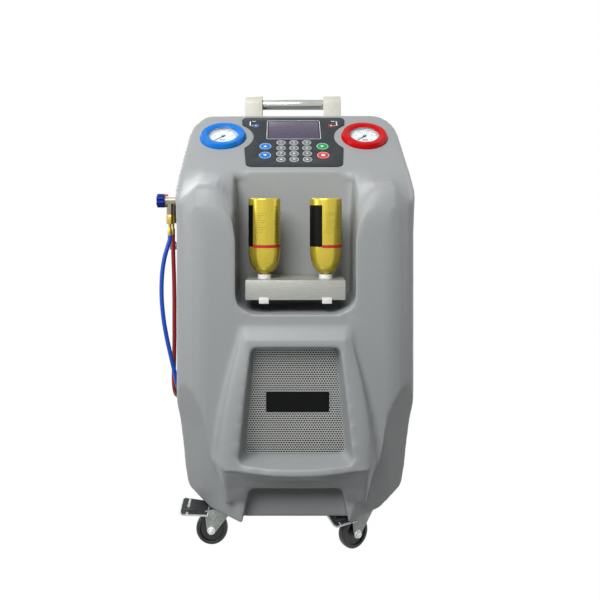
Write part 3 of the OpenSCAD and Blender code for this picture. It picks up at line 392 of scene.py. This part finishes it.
def console(x, v, w=0.0):
    """Frame on the console: x across, v up the slope and w out of it."""
    depth = v * math.cos(TILT) - w * math.sin(TILT)
    rise = v * math.sin(TILT) + w * math.cos(TILT)
    return Matrix.Translation(spot(x, depth, CONSOLE_LOW + rise)) @ Matrix.Rotation(TILT, 4, "X")


# Hoses, which follow the same route points as the construction
HOSE_RADIUS = 6
# Fittings of the low hose end in front of the first place, those of the high one in front of the second
LOW_END_Y = 90
HIGH_END_Y = 180
LOW_ROUTE = [
    (-296, 488, 545), (-296, 488, 480), (-296, 488, 400), (-296, 488, 318), (-296, 482, 294),
    (-296, 464, 276), (-296, 440, 270), (-296, 416, 276), (-296, 398, 294), (-296, 392, 318),
    (-296, 392, 400), (-296, 392, 480), (-296, 392, 570), (-296, 392, 650), (-299, 398, 674),
    (-302, 416, 692), (-305, 440, 698), (-308, 464, 692), (-311, 482, 674), (-314, 488, 650),
    (-314, 488, 570), (-314, 488, 480), (-314, 488, 400), (-314, 488, 344), (-316, 478, 307),
    (-318, 451, 280), (-320, 414, 270), (-322, 377, 280), (-325, 350, 307), (-330, 340, 344),
    (-339, 333, 390), (-349, 328, 440), (-357, 325, 490), (-362, 325, 540), (-363, 325, 580),
    (-361, 325, 620), (-355, 325, 660), (-346, 325, 692), (-341, 325, 708), (-340, 325, 716),
    (-340, 325, 722),
]  # fmt: skip
HIGH_ROUTE = [
    (-296, 502, 595), (-296, 502, 530), (-296, 502, 460), (-296, 502, 390), (-296, 502, 318),
    (-296, 494, 287), (-296, 471, 264), (-296, 440, 256), (-296, 409, 264), (-296, 386, 287),
    (-296, 378, 318), (-296, 378, 400), (-296, 378, 480), (-296, 378, 570), (-296, 378, 650),
    (-299, 386, 681), (-302, 409, 704), (-305, 440, 712), (-308, 471, 704), (-311, 494, 681),
    (-314, 502, 650), (-314, 502, 570), (-314, 502, 480), (-314, 502, 400), (-316, 502, 315),
    (-321, 493, 283), (-327, 470, 260), (-332, 438, 251), (-335, 406, 260), (-337, 383, 283),
    (-338, 375, 315), (-337, 375, 360), (-336, 375, 420), (-336, 375, 480), (-336, 375, 540),
    (-337, 375, 600), (-339, 375, 660), (-340, 375, 706), (-340, 375, 722),
]  # fmt: skip


def flowing(points, steps=5):
    """Smooth line through the points."""
    last = len(points) - 1
    ways = [(points[min(i + 1, last)] - points[max(i - 1, 0)]).normalized() for i in range(last + 1)]
    line = []
    for i in range(last):
        span = (points[i + 1] - points[i]).length
        for k in range(steps):
            t = k / steps
            near, far = 1 - 3 * t**2 + 2 * t**3, 3 * t**2 - 2 * t**3
            out, back = t - 2 * t**2 + t**3, t**3 - t**2
            turn = span * (out * ways[i] + back * ways[i + 1])
            line.append(near * points[i] + far * points[i + 1] + turn)
    return line + [points[last]]


def hose(name, route, key):
    """Service hose from its bulkhead elbow to its coupler."""
    line = flowing([spot(*p) for p in route])
    curve = bpy.data.curves.new(name, "CURVE")
    curve.dimensions = "3D"
    curve.bevel_depth = HOSE_RADIUS * MM
    curve.bevel_resolution = 3
    curve.use_fill_caps = True
    spline = curve.splines.new("POLY")
    spline.points.add(len(line) - 1)
    for point, co in zip(spline.points, line):
        point.co = (*co, 1)
    curve.materials.append(FINISH[key])
    tube = bpy.data.objects.new(name, curve)
    SCENE.collection.objects.link(tube)
    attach(tube, "machine")
    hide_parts(name.replace("_shown", ""))
    length = sum((b - a).length for a, b in zip(line, line[1:]))
    tuple(line[0])


for side, route, near in (("low", LOW_ROUTE, True), ("high", HIGH_ROUTE, False)):
    at_side = (lambda c: c.y < LOW_END_Y) if near else (lambda c: LOW_END_Y <= c.y < HIGH_END_Y)
    parts = [
        soft_piece("service_couplers", 0.8, name=f"coupler_{side}", keep=at_side),
        soft_piece("hose_fittings", 0.6, name=f"hose_end_{side}", keep=at_side),
        soft_piece(f"knob_{side}", 1.2, 3),
    ]
    hose(f"hose_{side}_shown", route, "hose_blue" if near else "hose_red")
soft_piece("hose_fittings", 0.8, name="bulkhead_elbows", keep=lambda c: c.y >= HIGH_END_Y)
soft_piece("hose_hanger", 0.7)


# Moulded cover, drawn as one skin with soft edges
GAUGE_HOLE = 46
# Depth of an edge loop that runs along the rear and the foot, height above the vent, depth of its well
LONG_LOOP = 400
ABOVE_VENT = 500
VENT_WELL = 12


def cover_skin():
    """Outer skin of the cover, closed for remeshing."""
    bm = merged("front_cover")
    gauges = [console(side * GAUGE_X, GAUGE_V).inverted() for side in (-1, 1)]

    def in_gauge_hole(point):
        """Whether a point, given on a gauge's frame, lies in its hole."""
        return point.xy.length < GAUGE_HOLE * MM and point.z < 1 * MM

    def joins(face):
        """Whether a face joins the outer skin to the inner one."""
        points = [v.co for v in face.verts]
        if all(on_rear(p) for p in points) or all(on_foot(p) for p in points):
            return True
        if all(abs(p.y - SCREEN_Y * MM) < HAIR * MM for p in points):
            return True
        return any(all(in_gauge_hole(gauge @ p) for p in points) for gauge in gauges)

    bmesh.ops.delete(bm, geom=[f for f in bm.faces if joins(f)], context="FACES")
    outer = max(islands(bm), key=lambda group: max(v.co.z for f in group for v in f.verts))
    bmesh.ops.delete(bm, geom=[f for f in bm.faces if f not in outer], context="FACES")
    for loop in open_loops(bm):
        if max(v.co.y for v in loop) - min(v.co.y for v in loop) > LONG_LOOP * MM:
            close_rear_and_foot(bm, loop)
        elif max(v.co.z for v in loop) < ABOVE_VENT * MM:
            close_vent(bm, loop)
        else:
            bm.faces.new(loop)
    bmesh.ops.triangulate(bm, faces=bm.faces)
    bmesh.ops.recalc_face_normals(bm, faces=bm.faces)
    return bm


def on_rear(point):
    """Whether a point lies on the cover's rear face."""
    return point.y > (REAR - HAIR) * MM


def on_foot(point):
    """Whether a point lies on the cover's foot."""
    return point.z < (FOOT + HAIR) * MM


def open_loops(bm):
    """Closed chains of vertices along open edges."""
    left = {e for e in bm.edges if e.is_boundary}
    loops = []
    while left:
        edge = left.pop()
        chain = [edge.verts[0], edge.verts[1]]
        while chain[-1] != chain[0]:
            follow = [e for e in chain[-1].link_edges if e in left]
            if not follow:
                break
            left.discard(follow[0])
            chain.append(follow[0].other_vert(chain[-1]))
        loops.append(chain[:-1] if chain[-1] == chain[0] else chain)
    return loops


def close_rear_and_foot(bm, loop):
    """Closes the open rear and the open foot with one flat face each."""
    low = [v for v in loop if on_foot(v.co) and on_rear(v.co)]
    ends = [min(low, key=lambda v: v.co.x), max(low, key=lambda v: v.co.x)]
    first, second = sorted(loop.index(v) for v in ends)
    bm.faces.new(loop[first : second + 1])
    bm.faces.new(loop[second:] + loop[: first + 1])


def close_vent(bm, loop):
    """Deepens the vent opening and closes it behind."""
    edges = [bm.edges.get(pair) for pair in zip(loop, loop[1:] + loop[:1])]
    made = bmesh.ops.extrude_edge_only(bm, edges=edges)["geom"]
    back = [part for part in made if isinstance(part, bmesh.types.BMVert)]
    bmesh.ops.translate(bm, verts=back, vec=(0, VENT_WELL * MM, 0))
    rim = [part for part in made if isinstance(part, bmesh.types.BMEdge) and part.is_boundary]
    bmesh.ops.edgeloop_fill(bm, edges=rim)


# Tables of two numbers: a place, and what the moulding does there
# Vent frame by height: inner and outer half width, sideways shift of its rim and growth of its overhang
VENT_MOUTH = [(240, 128), (488, 98)]
VENT_RIM = [(236, 147), (508, 131)]
RIM_SHIFT = [(140, 0), (236, 20), (290, 20), (340, 16), (412, 5), (450, -3), (505, -14)]
RIM_GROWTH = [(236, 1), (508, 1.5), (540, 0)]
RIM_DEPTH = [(0, 1), (8, 0)]
RIM_WIDTH = 24
RIM_FADE = 70
# Bowed sill by height and depth, its half width, and how far its middle stands out and hangs
SILL_HEIGHT = [(190, 0), (215, 1), (246, 1), (262, 0)]
SILL_DEPTH = [(-40, 1), (0, 0)]
SILL_HALF = 130
SILL_BOW = 8
SILL_DROP = 5
# Lift of the recess floor and of the arch by height, and their fades across and by depth
FLOOR_LIFT = [(540, 0), (556, -7), (590, -7), (640, 0)]
FLOOR_ACROSS = [(140, 1), (180, 0)]
FLOOR_DEPTH = [(165, 1), (180, 0)]
ARCH_LIFT = [(95, 0), (165, 13), (212, 10), (232, 0)]
ARCH_ACROSS = [(140, 1), (170, 0)]
ARCH_DEPTH = [(40, 1), (60, 0)]
# Rise of the rounded brow across a column, the height where it sets in, and how far back it fades
BROW_RISE = [(100, 0), (122, 32), (140, 40), (160, 60), (178, 73), (200, 78), (226, 76), (266, 16)]
BROW_HEIGHT = [(640, 0), (780, 1)]
BROW_REACH = 170
BROW_FADE = 1.5
# Outward bulge of the shoulders and of the lower flanks by height, and their fades
SHOULDER_BULGE = [(740, 0), (820, 3), (880, 6), (980, 3), (1050, 0)]
SHOULDER_ACROSS = [(190, 0), (240, 1)]
FLANK_BULGE = [(95, 3), (140, 7), (185, 6), (230, 2), (300, -2), (380, 0)]
FLANK_ACROSS = [(180, 0), (215, 1)]
SIDE_DEPTH = [(300, 1), (480, 0)]
# How far the recess is wider than the solid's by height, and the fades of that
RECESS_GROWTH = [(560, 0), (590, 8), (780, 8), (860, 14)]
RECESS_ACROSS = [(100, 0), (128, 1), (150, 1), (200, 0)]
RECESS_DEPTH = [(160, 1), (185, 0)]
# Rolled edge of the recess: half width of the recess, width of the roll, and its bands
RECESS_HALF = 131
ROLL = 24
ROLL_FRONT = 26
ROLL_BACK = 170
ROLL_SLOPE = 20
COLUMN_LOW, COLUMN_HIGH = 575, 800
BROW_INNER, BROW_LOW, BROW_HIGH = 118, 750, 806
# Making of the skin: voxel, rounds of smoothing, share of faces that is kept, and wall
VOXEL = 4
EASE_ROUNDS = 7
ROLL_ROUNDS = 36
KEPT_SHARE = 0.25
WALL = 3
# Opening of the vent in the finished skin
VENT_HALF, VENT_LOW, VENT_HIGH = 125, 225, 495


def along(value, stops):
    """Value between the stops, which hold beyond their ends."""
    if value <= stops[0][0]:
        return stops[0][1]
    for (a, low), (b, high) in zip(stops, stops[1:]):
        if value <= b:
            return low + (high - low) * (value - a) / (b - a)
    return stops[-1][1]


def moulded(point):
    """Place of a point of the skin on the finished moulding, with its bold vent frame and bowed sill."""
    x, depth, z = point.x / MM, point.y / MM - FRONT, point.z / MM
    half, side = abs(x), math.copysign(1, x)
    rim = along(z, VENT_RIM)
    pull = along(half, [(along(z, VENT_MOUTH), 0), (rim, 1), (rim + RIM_WIDTH, 1), (rim + RIM_FADE, 0)])
    grown = depth * along(z, RIM_GROWTH) if depth < 0 else depth
    sill = along(z, SILL_HEIGHT) * along(depth, SILL_DEPTH)
    bow = sill * max(0, 1 - (x / SILL_HALF) ** 2)
    lift = along(z, FLOOR_LIFT) * along(half, FLOOR_ACROSS) * along(depth, FLOOR_DEPTH)
    lift += along(z, ARCH_LIFT) * along(half, ARCH_ACROSS) * along(depth, ARCH_DEPTH)
    fade = max(0, 1 - max(depth, 0) / BROW_REACH) ** BROW_FADE
    lift += fade * along(z, BROW_HEIGHT) * along(half, BROW_RISE)
    out = along(depth, RIM_DEPTH) * pull * along(z, RIM_SHIFT)
    out += along(half, RECESS_ACROSS) * along(depth, RECESS_DEPTH) * along(z, RECESS_GROWTH)
    ahead = along(depth, SIDE_DEPTH)
    out += ahead * along(z, SHOULDER_BULGE) * along(half, SHOULDER_ACROSS)
    out += ahead * along(z, FLANK_BULGE) * along(half, FLANK_ACROSS)
    return spot(x + side * out, grown - SILL_BOW * bow, z + lift - SILL_DROP * bow)


def on_recess_edge(point, sloped):
    """Whether a point lies by the rolled edge between the recess and the console or the columns."""
    x, y, z = point / MM
    depth = y - FRONT
    in_front = depth < ROLL_FRONT and COLUMN_LOW < z < COLUMN_HIGH
    on_slope = abs(sloped.z) < ROLL_SLOPE * MM and ROLL_FRONT <= depth < ROLL_BACK
    on_brow = abs(x) > BROW_INNER and depth < ROLL and BROW_LOW < z < BROW_HIGH
    return on_brow or (abs(abs(x) - RECESS_HALF) < ROLL and (in_front or on_slope))


def with_modifiers(holder):
    """Mesh of an object as its modifiers leave it, and the object is removed."""
    seen = holder.evaluated_get(bpy.context.evaluated_depsgraph_get())
    mesh = bpy.data.meshes.new_from_object(seen)
    bpy.data.objects.remove(holder)
    return mesh


def cover():
    """Cover with soft edges and a thin wall, open behind, below and at the vent."""
    skin = bpy.data.meshes.new("cover_skin")
    bm = cover_skin()
    bm.to_mesh(skin)
    bm.free()
    holder = bpy.data.objects.new("cover_skin", skin)
    SCENE.collection.objects.link(holder)
    voxels = holder.modifiers.new("voxels", "REMESH")
    voxels.mode = "VOXEL"
    voxels.voxel_size = VOXEL * MM
    ease = holder.modifiers.new("ease", "SMOOTH")
    ease.factor = 0.5
    ease.iterations = EASE_ROUNDS
    solid = with_modifiers(holder)
    bm = bmesh.new()
    bm.from_mesh(solid)
    slope = console(0, 0).inverted()
    rolled = [v for v in bm.verts if on_recess_edge(v.co, slope @ v.co)]
    for _ in range(ROLL_ROUNDS):
        bmesh.ops.smooth_vert(
            bm, verts=rolled, factor=0.5, use_axis_x=True, use_axis_y=True, use_axis_z=True
        )
    for vert in bm.verts:
        vert.co = moulded(vert.co)

    def opening(face):
        """Whether a face closes the rear, the foot or the vent."""
        c = face.calc_center_median() / MM
        in_mouth = abs(c.x) < VENT_HALF and VENT_LOW < c.z < VENT_HIGH
        in_well = SCREEN_Y + 2.5 < c.y < SCREEN_Y + 15 and face.normal.y < -0.5
        return c.y > REAR - 3.5 or c.z < FOOT + 3 or (in_mouth and in_well)

    bmesh.ops.delete(bm, geom=[f for f in bm.faces if opening(f)], context="FACES")
    bm.to_mesh(solid)
    bm.free()
    holder = bpy.data.objects.new("cover_thin", solid)
    SCENE.collection.objects.link(holder)
    thin = holder.modifiers.new("thin", "DECIMATE")
    thin.ratio = KEPT_SHARE
    wall = holder.modifiers.new("wall", "SOLIDIFY")
    wall.thickness = WALL * MM
    wall.offset = -1
    bm = bmesh.new()
    bm.from_mesh(with_modifiers(holder))
    make("cover_shown", bm, ["cover_plastic"], "machine", ["front_cover"], angle=60)


cover()

# Console: film, display, prints and keys
# Face of the film and of its ink, which is drawn thicker than real so that it shows
FILM_TOP = 1.5
INK_TOP = 1.62
# Line round the display, and the tap signs beside it with their bars: place, width and height
LCD_V = 394
LCD_LINE = (146, 101, 4, 1.4)
TAP_X = 104
TAP_V = 416
TAP_BARS = ((16, 428, 3, 24), (10, 416, 6, 2), (6, 440, 10, 2.4))
soft_piece("keypad_plate", 0.4)
bm = bmesh.new()
frame_line(bm, *LCD_LINE, FILM_TOP, INK_TOP, console(0, LCD_V))
for side in (-1, 1):
    ring_outline(bm, 8.6, 6.6, FILM_TOP, INK_TOP, console(side * TAP_X, TAP_V), 1 if side < 0 else 2)
    ring_outline(bm, 3.2, 1.6, FILM_TOP, INK_TOP, console(side * TAP_X, TAP_V), 0)
    for x, v, w, h in TAP_BARS:
        prism(bm, rounded_box(w, h, 0.8), FILM_TOP, INK_TOP, console(side * (TAP_X + x), v), 0)
make("pad_prints", bm, ["print_white", "print_blue", "print_red"], "machine")
bm = soften(merged("lcd_window"), 0.3)
make("lcd_shown", bm, ["display"], "machine", ["lcd_window"])

# Digit keys: radius, pitch across and up the slope, and place of the first row; then the big keys
DIGIT_R = 12.5
DIGIT_PITCH_X, DIGIT_PITCH_V = 34, 27.7
DIGIT_V = 325
DIGIT_ROWS = (("1", "2", "3"), ("4", "5", "6"), ("7", "8", "9"), ("left", "0", "right"))
BIG_R = 16
BIG_X = 75
BIG_V, BIG_LOW_V = 306, 262
TRIANGLE = [(-5, -4), (5, -4), (0, 4.5)]
KEYS = [
    (f"key_{n}", (col - 1) * DIGIT_PITCH_X, DIGIT_V - row * DIGIT_PITCH_V, DIGIT_R, "key_grey", n)
    for row, names in enumerate(DIGIT_ROWS)
    for col, n in enumerate(names)
] + [
    ("key_up", -BIG_X, BIG_V, BIG_R, "key_blue", "up"),
    ("key_down", -BIG_X, BIG_LOW_V, BIG_R, "key_blue", "down"),
    ("key_start", BIG_X, BIG_V, BIG_R, "key_green", "right"),
    ("key_stop", BIG_X, BIG_LOW_V, BIG_R, "key_red", "stop"),
]
# Face of the signs on the keys, and how far the arrow turns for each sign
SIGN_TOP = 2.07
TURN = {"up": 0, "left": 90, "down": 180, "right": 270}


def key(node, x, v, r, finish_key, sign):
    """Domed key with its ring and its generic sign."""
    bm = bmesh.new()
    at = console(x, v)
    lathe(bm, [(0, -0.4), (r, -0.4), (r, 1.35), (r - 0.25, 1.8), (r - 0.8, 2.0), (0, 2.05)], at)
    ring_outline(bm, r - 1.0, r - 2.0, 1.9, 2.09, at, 1)
    if sign in TURN:
        turned = console(x, v, SIGN_TOP) @ Matrix.Rotation(math.radians(TURN[sign]), 4, "Z")
        arrow = [(a * r / BIG_R, b * r / BIG_R) for a, b in TRIANGLE]
        prism(bm, arrow, -0.1, 0.03, turned, 1)
    elif sign == "stop":
        prism(bm, rounded_box(9, 9, 0.8), 1.97, 2.1, at, 1)
    else:
        glyph(bm, sign, 13, console(x, v, SIGN_TOP), 1)
    make(node + "_shown", bm, [finish_key, "print_white"], node, [node])


for row in KEYS:
    key(*row)


# Gauges: card and ink by height, radius of the card, and the printed scale
CARD_LOW, CARD_TOP, DIAL_INK = 2.0, 2.06, 2.12
CARD_R = 42.5
SCALE_START, SCALE_SWEEP = 225, 270
SCALE_R, ARC_R = 35, 37
TICKS = 50
FIGURES = 5
FIGURES_R = 22.5
MARK_V = 337


def dial(side, name, finish_key, step):
    """Printed scale of a gauge."""
    bm = bmesh.new()
    at = console(side * GAUGE_X, GAUGE_V)
    prism(bm, disc(CARD_R, 48), CARD_LOW, CARD_TOP, at, 0)
    for i in range(TICKS + 1):
        a = math.radians(SCALE_START - SCALE_SWEEP * i / TICKS)
        long = 7 if i % 10 == 0 else (5 if i % 5 == 0 else 3)
        wide = 1.0 if i % 10 == 0 else 0.5
        reach = Matrix.Translation(Vector((SCALE_R - long / 2, 0, 0)) * MM)
        tick = [(sx * long / 2, sy * wide / 2) for sx, sy in ((-1, -1), (1, -1), (1, 1), (-1, 1))]
        prism(bm, tick, CARD_TOP, DIAL_INK, at @ Matrix.Rotation(a, 4, "Z") @ reach, 1)
    for i in range(FIGURES + 1):
        a = math.radians(SCALE_START - SCALE_SWEEP * i / FIGURES)
        x, v = side * GAUGE_X + FIGURES_R * math.cos(a), GAUGE_V + FIGURES_R * math.sin(a)
        glyph(bm, str(i * step), 6.5, console(x, v, 2.1), 1)
    ring_outline(bm, ARC_R, ARC_R - 1.4, CARD_TOP, DIAL_INK, at, 2, 40, -45, SCALE_SWEEP)
    prism(bm, rounded_box(16, 5, 1), CARD_TOP, DIAL_INK, console(side * GAUGE_X, MARK_V), 2)
    make(name, bm, ["gauge_white", "print_black", finish_key], "machine")


dial(-1, "dial_low", "print_blue", 3)
dial(1, "dial_high", "print_red", 7)
for node in ("gauge_ring_low", "gauge_ring_high"):
    soft_piece(node, 1.6, 3)
for node in ("needle_low", "needle_high"):
    soft_piece(node, 0.2)

# Handle
soft_piece("handle_brackets", 3.0, 3)
soft_piece("handle_tube", 0.4)

# Bottles: place of the neck, radii, and height of the shoulder
BOTTLE_X, BOTTLE_DEPTH, BOTTLE_LOW = 72, 65, 649.5
BOTTLE_R = 37.5
NECK_R = 12
SHOULDER = 52
NECK = [(0, -11), (9.6, -11), (10, -10.6), (10, 0), (11.4, 0)]
BOTTLE_TOP = [(37.1, 172.6), (36, 174.2), (34.4, 175), (32.5, 174.4), (31, 172.5), (0, 171.5)]
soft_piece("bottle_rack", 1.0)
soft_piece("bottle_couplers", 0.5)


def wrap(bm, low, high, proud, at, index, steps, start, turn):
    """Thin print round a part of a bottle's side."""
    inner, outer = BOTTLE_R - 0.1, BOTTLE_R + proud
    lathe(bm, [(inner, low), (outer, low), (outer, high), (inner, high)], at, index, steps, start, turn)


def bottle(side, name, label):
    """Gold bottle hung neck down, with a red band, a bare black label, fill marks and lines."""
    bm = bmesh.new()
    at = Matrix.Translation(spot(side * BOTTLE_X, BOTTLE_DEPTH, BOTTLE_LOW))
    curve = [math.radians(90 * i / 14) for i in range(15)]
    flare = BOTTLE_R - NECK_R
    shoulder = [(NECK_R + flare * math.sin(a), SHOULDER * (1 - math.cos(a))) for a in curve]
    lathe(bm, NECK + shoulder + [(BOTTLE_R, 60), (BOTTLE_R, 170.5)] + BOTTLE_TOP, at, 0, 64)
    start, end = label
    wrap(bm, 60, 67, 0.12, at, 1, 48, end - 90, 200)
    wrap(bm, 62.5, 158.5, 0.16, at, 2, 24, start - 90, end - start)
    for i in range(11):
        z = 74 + 8 * i
        wrap(bm, z, z + 0.7, 0.12, at, 2, 6, -50, 14 if i % 5 == 0 else 8)
    for i in range(9):
        z = 96 + 5.5 * i
        wrap(bm, z, z + 0.6, 0.06, at, 3, 8, end - 78, 22 + 9 * (i % 3))
    make(name + "_shown", bm, ["bottle_gold", "print_red", "badge_black", "print_brown"], name, [name])


bottle(-1, "oil_bottle_left", (-150, -43))
bottle(1, "oil_bottle_right", (-130, -16))


# Vent screen: pitch, radius and depth of its holes, lowest row, height, and half width by height
SCREEN_PITCH = 5.8
SCREEN_HOLE = 2.7
SCREEN_GAUGE = 1.2
SCREEN_LOW, SCREEN_RISE = 231, 262
SCREEN_EDGE = [(230, 125), (492, 102)]
SCREEN_COLUMNS = 22


def screen():
    """Zinc sheet of staggered six-sided holes, narrower to its top."""
    bm = bmesh.new()
    rise = SCREEN_PITCH * math.sqrt(3) / 2
    corner = SCREEN_PITCH / math.sqrt(3)
    upright = Matrix.Rotation(math.pi / 2, 4, "X")
    for row in range(int(SCREEN_RISE / rise)):
        z = SCREEN_LOW + row * rise
        for col in range(-SCREEN_COLUMNS, SCREEN_COLUMNS + 1):
            x = (col + 0.5 * (row % 2)) * SCREEN_PITCH
            if abs(x) <= along(z, SCREEN_EDGE):
                at = Matrix.Translation(Vector((x, SCREEN_Y, z)) * MM) @ upright
                bmesh.ops.create_circle(bm, cap_ends=True, segments=6, radius=corner * MM, matrix=at)
    holes = list(bm.faces)
    web = (corner - SCREEN_HOLE) * math.cos(math.pi / 6)
    bmesh.ops.inset_individual(bm, faces=holes, thickness=web * MM, use_even_offset=True)
    holes = bmesh.ops.extrude_discrete_faces(bm, faces=holes)["faces"]
    deep = list({v for f in holes for v in f.verts})
    bmesh.ops.translate(bm, verts=deep, vec=(0, SCREEN_GAUGE * MM, 0))
    bmesh.ops.delete(bm, geom=holes, context="FACES_ONLY")
    bmesh.ops.remove_doubles(bm, verts=bm.verts, dist=0.05 * MM)
    make("screen_shown", bm, ["screen_zinc"], "machine", ["vent_grille"], angle=30)


screen()
# Bare plate on the screen: width, height and corner
BADGE = (144, 46, 2)
bm = bmesh.new()
upright = Matrix.Translation(spot(5, 20, 360)) @ Matrix.Rotation(math.pi / 2, 4, "X")
prism(bm, rounded_box(*BADGE), 0, 1.6, upright)
make("badge_plate", bm, ["badge_black"], "machine")

# Casters: place of the front ones, trail and height of the axle, half width of the fork
CASTER_X, CASTER_DEPTH = 165, 92
TRAIL, AXLE_Z = 33, 37.5
FORK_HALF = 17
PEDAL_HINGE = (-44, 0, 79)
PEDAL_SLOPE = 5
# Pedal plate and its two treads, as outlines seen from above
PLATE = [(-64, -24), (-58, -31), (4, -26), (4, 22), (-58, 27), (-64, 21)]
FRONT_TREAD = [(-61, -22), (-57, -28), (-49, -27.2), (-49, 22.8), (-57, 24), (-61, 19)]
REAR_TREAD = [(-43, -26.4), (1, -23), (1, 19), (-43, 22.4)]
for corner_name in ("left", "right", "rear_left", "rear_right"):
    soft_piece(f"fork_{corner_name}", 0.8)
    soft_piece(f"wheel_{corner_name}", 0.7)


def caster_frame(x, turn):
    """Frame of a front caster, on the floor under its swivel."""
    return Matrix.Translation(spot(x, CASTER_DEPTH, 0)) @ Matrix.Rotation(math.radians(turn), 4, "Z")


def pedal_plate(side, x, turn, tip, rise):
    """Zinc plate over a brake pedal, tipped to the front, with two black treads."""
    at = caster_frame(x, turn) @ Matrix.Translation(Vector(PEDAL_HINGE) * MM)
    at = at @ Matrix.Rotation(math.radians(PEDAL_SLOPE), 4, "Y")
    at = at @ Matrix.Translation(Vector((0, 0, rise)) * MM) @ Matrix.Rotation(math.radians(tip), 4, "X")
    bm = bmesh.new()
    prism(bm, PLATE, -1.2, 1.2, at)
    prism(bm, FRONT_TREAD, 1.2, 3.2, at, 1)
    prism(bm, REAR_TREAD, 1.2, 3.2, at, 1)
    body = BODY_OF[f"pedal_{side}"]
    make(f"pedal_plate_{side}", bm, ["bright_zinc", "pedal_black"], body, slot="caster_zinc")


def axle_bolt(side, x, turn):
    """Washer, nut and thread end on both sides of a front fork."""
    bm = bmesh.new()
    for way in (-1, 1):
        end = Matrix.Translation(Vector((-TRAIL, way * FORK_HALF, AXLE_Z)) * MM)
        at = caster_frame(x, turn) @ end @ Matrix.Rotation(-way * math.pi / 2, 4, "X")
        lathe(bm, [(0, -0.2), (9.5, -0.2), (9.5, 1.2), (0, 1.2)], at, 0, 24)
        prism(bm, disc(7.8, 6), 1.2, 6.4, at)
        lathe(bm, [(4, 6.4), (4, 9), (3.2, 9.8), (0, 9.8)], at, 0, 16)
    make(f"axle_bolt_{side}", soften(bm, 0.4), ["bright_zinc"], BODY_OF[f"fork_{side}"], slot="caster_zinc")


for side, x, turn, tip, rise in (("left", -CASTER_X, 0, 16, 4), ("right", CASTER_X, 33, 26, 5)):
    soft_piece(f"pedal_{side}", 0.8)
    pedal_plate(side, x, turn, tip, rise)
    axle_bolt(side, x, turn)
soft_piece("caster_plates", 0.5)

# Pieces that show their CAD form
for node, held in NODES.items():
    if not held.hide_render:
        held.data.materials.clear()
        held.data.materials.append(FINISH[SLOT_OF[node]])


# Stage: half width of the floor in metres, share and strength of its white, fill of the world
FLOOR_HALF = 6
FLOOR_SHARE = 0.88
FLOOR_GLOW = 1.13
WORLD_FILL = 0.08


def seen_white(tree):
    """Whether the camera, metal or glass sees the background, which is then white."""
    rays = add(tree, "ShaderNodeLightPath")
    seen = rays.outputs["Is Camera Ray"]
    for kind in ("Is Glossy Ray", "Is Transmission Ray"):
        either = add(tree, "ShaderNodeMath", {"operation": "MAXIMUM"}, {0: seen, 1: rays.outputs[kind]})
        seen = either.outputs[0]
    return seen


bm = bmesh.new()
bmesh.ops.create_grid(bm, x_segments=1, y_segments=1, size=FLOOR_HALF)
floor_mesh = bpy.data.meshes.new("floor")
bm.to_mesh(floor_mesh)
bm.free()
floor = bpy.data.objects.new("floor", floor_mesh)
SCENE.collection.objects.link(floor)
pale = bpy.data.materials.new("pale_floor")
pale.use_nodes = True
tree = pale.node_tree
tree.nodes.clear()
share = add(tree, "ShaderNodeMath", {"operation": "MULTIPLY", 1: FLOOR_SHARE}, {0: seen_white(tree)})
matt = add(tree, "ShaderNodeBsdfDiffuse", {"Color": linear("5e5e5e")})
white = add(tree, "ShaderNodeEmission", {"Color": linear("ffffff"), "Strength": FLOOR_GLOW})
mixed = {0: share.outputs[0], 1: matt.outputs[0], 2: white.outputs[0]}
both = add(tree, "ShaderNodeMixShader", None, mixed)
add(tree, "ShaderNodeOutputMaterial", None, {"Surface": both.outputs[0]})
floor_mesh.materials.append(pale)

world = bpy.data.worlds.new("studio")
world.use_nodes = True
SCENE.world = world
tree = world.node_tree
tree.nodes.clear()
soft = add(tree, "ShaderNodeBackground", {"Color": linear("f4f6f8"), "Strength": WORLD_FILL})
white = add(tree, "ShaderNodeBackground", {"Color": linear("ffffff"), "Strength": 1.0})
mixed = {0: seen_white(tree), 1: soft.outputs[0], 2: white.outputs[0]}
both = add(tree, "ShaderNodeMixShader", None, mixed)
add(tree, "ShaderNodeOutputWorld", None, {"Surface": both.outputs[0]})


def softbox(name, at, target, size, power):
    """Square area light that faces a point."""
    lamp = bpy.data.lights.new(name, "AREA")
    lamp.size = size
    lamp.energy = power
    held = bpy.data.objects.new(name, lamp)
    held.location = at
    held.rotation_euler = (Vector(target) - Vector(at)).to_track_quat("-Z", "Y").to_euler()
    SCENE.collection.objects.link(held)


# Lights: place and target in metres, size and power
softbox("key_light", (-1.0, -2.5, 3.0), (0, 0, 0.6), 2.2, 150)
softbox("left_light", (-2.2, -0.7, 1.2), (0, 0, 0.5), 1.2, 14)
softbox("right_light", (2.3, -0.1, 0.8), (0, 0, 0.4), 1.2, 9)
softbox("rear_light", (-1.2, 2.6, 2.2), (0, 0, 0.6), 2.0, 60)

SCENE.view_settings.view_transform = "Standard"
